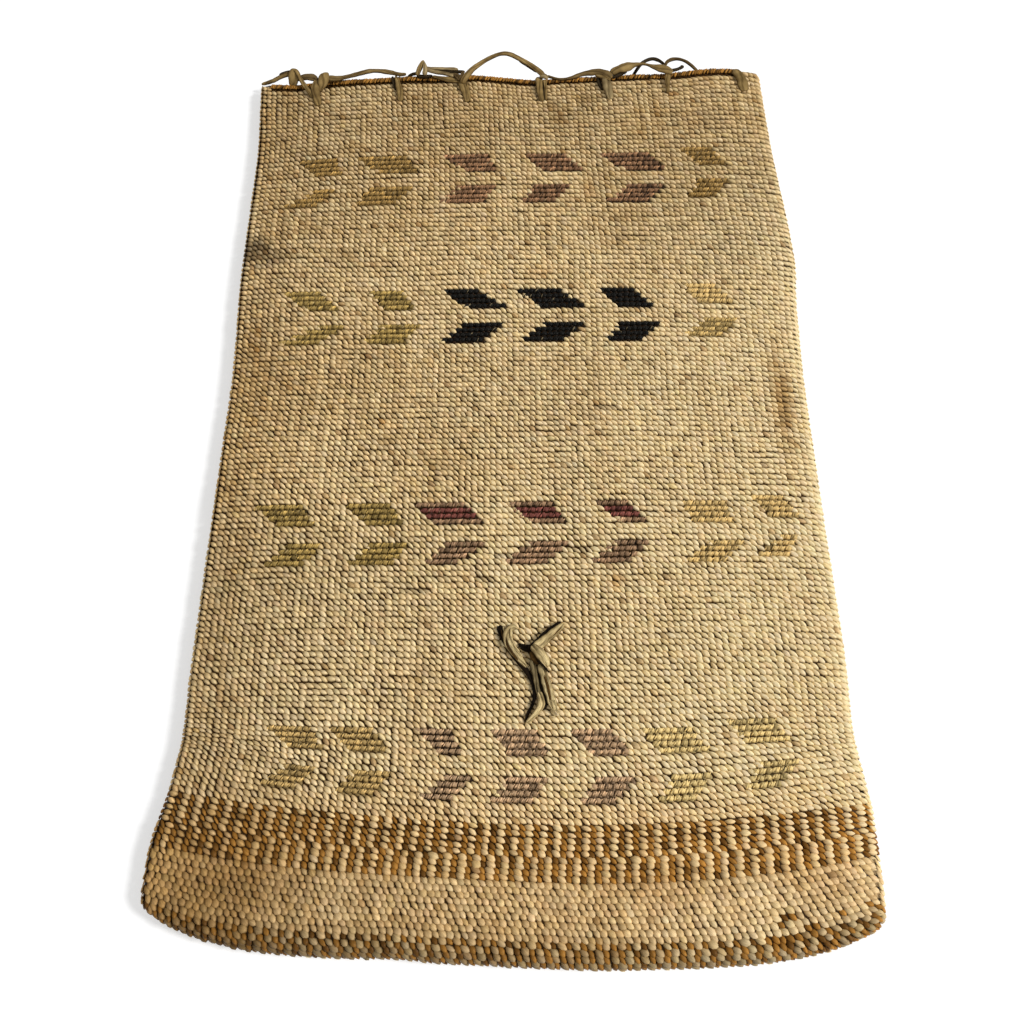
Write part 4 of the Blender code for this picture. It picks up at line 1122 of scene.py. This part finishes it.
def ribbon(stops, colour, seed, thick, ragged, groove, edge):
    """A flat strip of hide along stops of (place, width, roll in degrees), creased along its length."""
    rows = np.array([(*place, width, roll) for place, width, roll in stops])
    length = np.linalg.norm(np.diff(rows[:, :3], axis=0), axis=1).sum()
    count = max(8, int(length / STRIP_STEP))
    path, length = catmull(rows, count)
    centre, width, roll = path[:, :3], path[:, 3], np.radians(path[:, 4])
    at = np.linspace(0, length / STRIP_WAVE, count)
    phase = np.random.default_rng(seed).uniform(0, 6, 8)

    def sway(rate, k):
        """A wave along the strip, with a phase of its own."""
        return np.sin(at * rate + phase[k])

    roll = roll + 0.14 * sway(1.3, 0)
    wave = sway(0.9, 1) + 0.7 * sway(2.3, 2) + 0.5 * sway(5.1, 3)
    ends = np.clip(np.minimum(np.arange(count), np.arange(count)[::-1]) / 1.8, 0.2, 1)
    taper = np.sqrt(np.clip(1 - (1 - ends) ** 2, 0, 1))
    width = (width * (1 + ragged * wave) * taper)[:, None]
    thickness = (thick * MM * (1 + 0.14 * sway(1.7, 6)) * taper)[:, None]
    tangent = unit(np.gradient(centre, axis=0))
    normal = flat_normals(tangent)
    side = np.cross(tangent, normal)
    c, s = np.cos(roll)[:, None], np.sin(roll)[:, None]
    side, normal = side * c + normal * s, normal * c - side * s

    px, pz = STRIP_SECTION
    top = pz > 0
    fold = 0.45 * sway(0.7, 4)[:, None]
    crease = np.exp(-((px - fold) / GROOVE_WIDTH) ** 2) * top
    ridge = np.exp(-((px - fold - RIDGE_SHIFT) / RIDGE_WIDTH) ** 2) * top
    deep = groove * (0.6 + 0.4 * sway(1.9, 5))[:, None]
    lift = (pz / 2 - deep * crease + 0.3 * deep * ridge) * thickness
    lift = lift - STRIP_CUP * width * (px ** 2 - 0.4)
    points = (centre[:, None] + side[:, None] * (px * width / 2)[..., None]
              + normal[:, None] * lift[..., None])
    # Painted shade: the strip is darker at its edges, in its crease and on its underside, and warmer where
    # darker; the ridge beside the crease gets a painted highlight. The slow waves are the hide's own
    # mottling.
    shade = (1 + 0.14 * sway(0.6, 7) + 0.16 * wave)[:, None] * (1 - edge * np.abs(px) ** 3)
    shade = shade * (1 - 0.6 * crease) * (1 + 0.12 * ridge) * np.where(top, 1, 0.6)
    tint = shade[..., None] ** [1, 1.08, 1.2] * colour
    grain = np.stack(np.broadcast_arrays(at[:, None], 6 * px, pz), 2) + seed
    return (np.concatenate([points.reshape(-1, 3), centre[[0, -1]]]), tube_faces(count, len(px)),
            np.concatenate([tint.reshape(-1, 3), np.tile(colour * 0.7, (2, 1))]),
            np.concatenate([grain.reshape(-1, 3), grain[[0, -1], 0]]))


def strap(number, colour, *spots):
    """The ribbon through one strip's spots."""
    stops = [(spot(x, y, above), width * MM, *(roll or [0])) for x, y, above, width, *roll in spots]
    return ribbon(stops, colour, number, **{**STRIP_LOOK, **STRIP_LOOKS.get(number, {})})


# Floor, light and camera
def background_rays(tree):
    """1 on the rays that see the background itself: from the camera, off a gloss and through glass."""
    path = tree.nodes.new("ShaderNodeLightPath")
    seen = path.outputs["Is Camera Ray"]
    for kind in ("Is Glossy Ray", "Is Transmission Ray"):
        either = tree.nodes.new("ShaderNodeMath")
        either.operation = "MAXIMUM"
        tree.links.new(seen, either.inputs[0])
        tree.links.new(path.outputs[kind], either.inputs[1])
        seen = either.outputs[0]
    return seen


def build_stage():
    """The table under the part, the key light and the world's fill."""
    bpy.ops.mesh.primitive_plane_add(size=FLOOR_SIZE, location=(0, 0, CAD_LOW[2]))
    floor = bpy.context.object
    floor.name = "floor"
    made, tree, shader = node_material("floor", 0.9)
    shader.inputs["Base Color"].default_value = FLOOR_GREY
    lift = tree.nodes.new("ShaderNodeMath")
    lift.operation = "MULTIPLY"
    lift.inputs[1].default_value = FLOOR_LIFT
    tree.links.new(background_rays(tree), lift.inputs[0])
    shader.inputs["Emission Color"].default_value = WHITE
    link(tree, lift, 0, shader, "Emission Strength")
    floor.data.materials.append(made)

    sun = bpy.data.lights.new("key", "SUN")
    sun.energy = KEY_STRENGTH
    sun.angle = math.radians(KEY_SOFT)
    key = bpy.data.objects.new("key", sun)
    key.rotation_euler = Vector(KEY_FROM).to_track_quat("Z", "Y").to_euler()
    bpy.context.scene.collection.objects.link(key)

    world = bpy.data.worlds.new("studio")
    bpy.context.scene.world = world
    world.use_nodes = True
    nodes = world.node_tree
    soft = nodes.nodes["Background"]
    soft.inputs["Color"].default_value = WHITE
    level = levels(nodes, background_rays(nodes), 0, 1, FILL, 1)
    link(nodes, level, "Result", soft, "Strength")


def build_camera():
    """The camera that stands where the photograph was taken."""
    lens = bpy.data.cameras.new("camera")
    lens.sensor_width = SENSOR
    lens.sensor_fit = "HORIZONTAL"
    lens.lens = FOCAL_PIXELS / FRAME_PIXELS * SENSOR
    lens.clip_start = NEAREST
    camera = bpy.data.objects.new("camera", lens)
    camera.location = EYE
    camera.rotation_euler = BACK.to_track_quat("Z", "Y").to_euler()
    bpy.context.scene.collection.objects.link(camera)
    bpy.context.scene.camera = camera


def main():
    """Camera, stage and materials, and then the pieces."""
    bpy.context.scene.view_settings.view_transform = "Standard"
    build_camera()
    build_stage()
    for slot, look in LOOKS.items():
        MATERIALS[slot] = strand_material(*look)
    build_bag()
    mesh_piece("rim_overcasting", binding(), "binding", "rim_binding")
    for node, slot, strips in THONGS:
        mesh_piece(node + "_strip", joined(strap(*strip) for strip in strips), slot, node)


main()
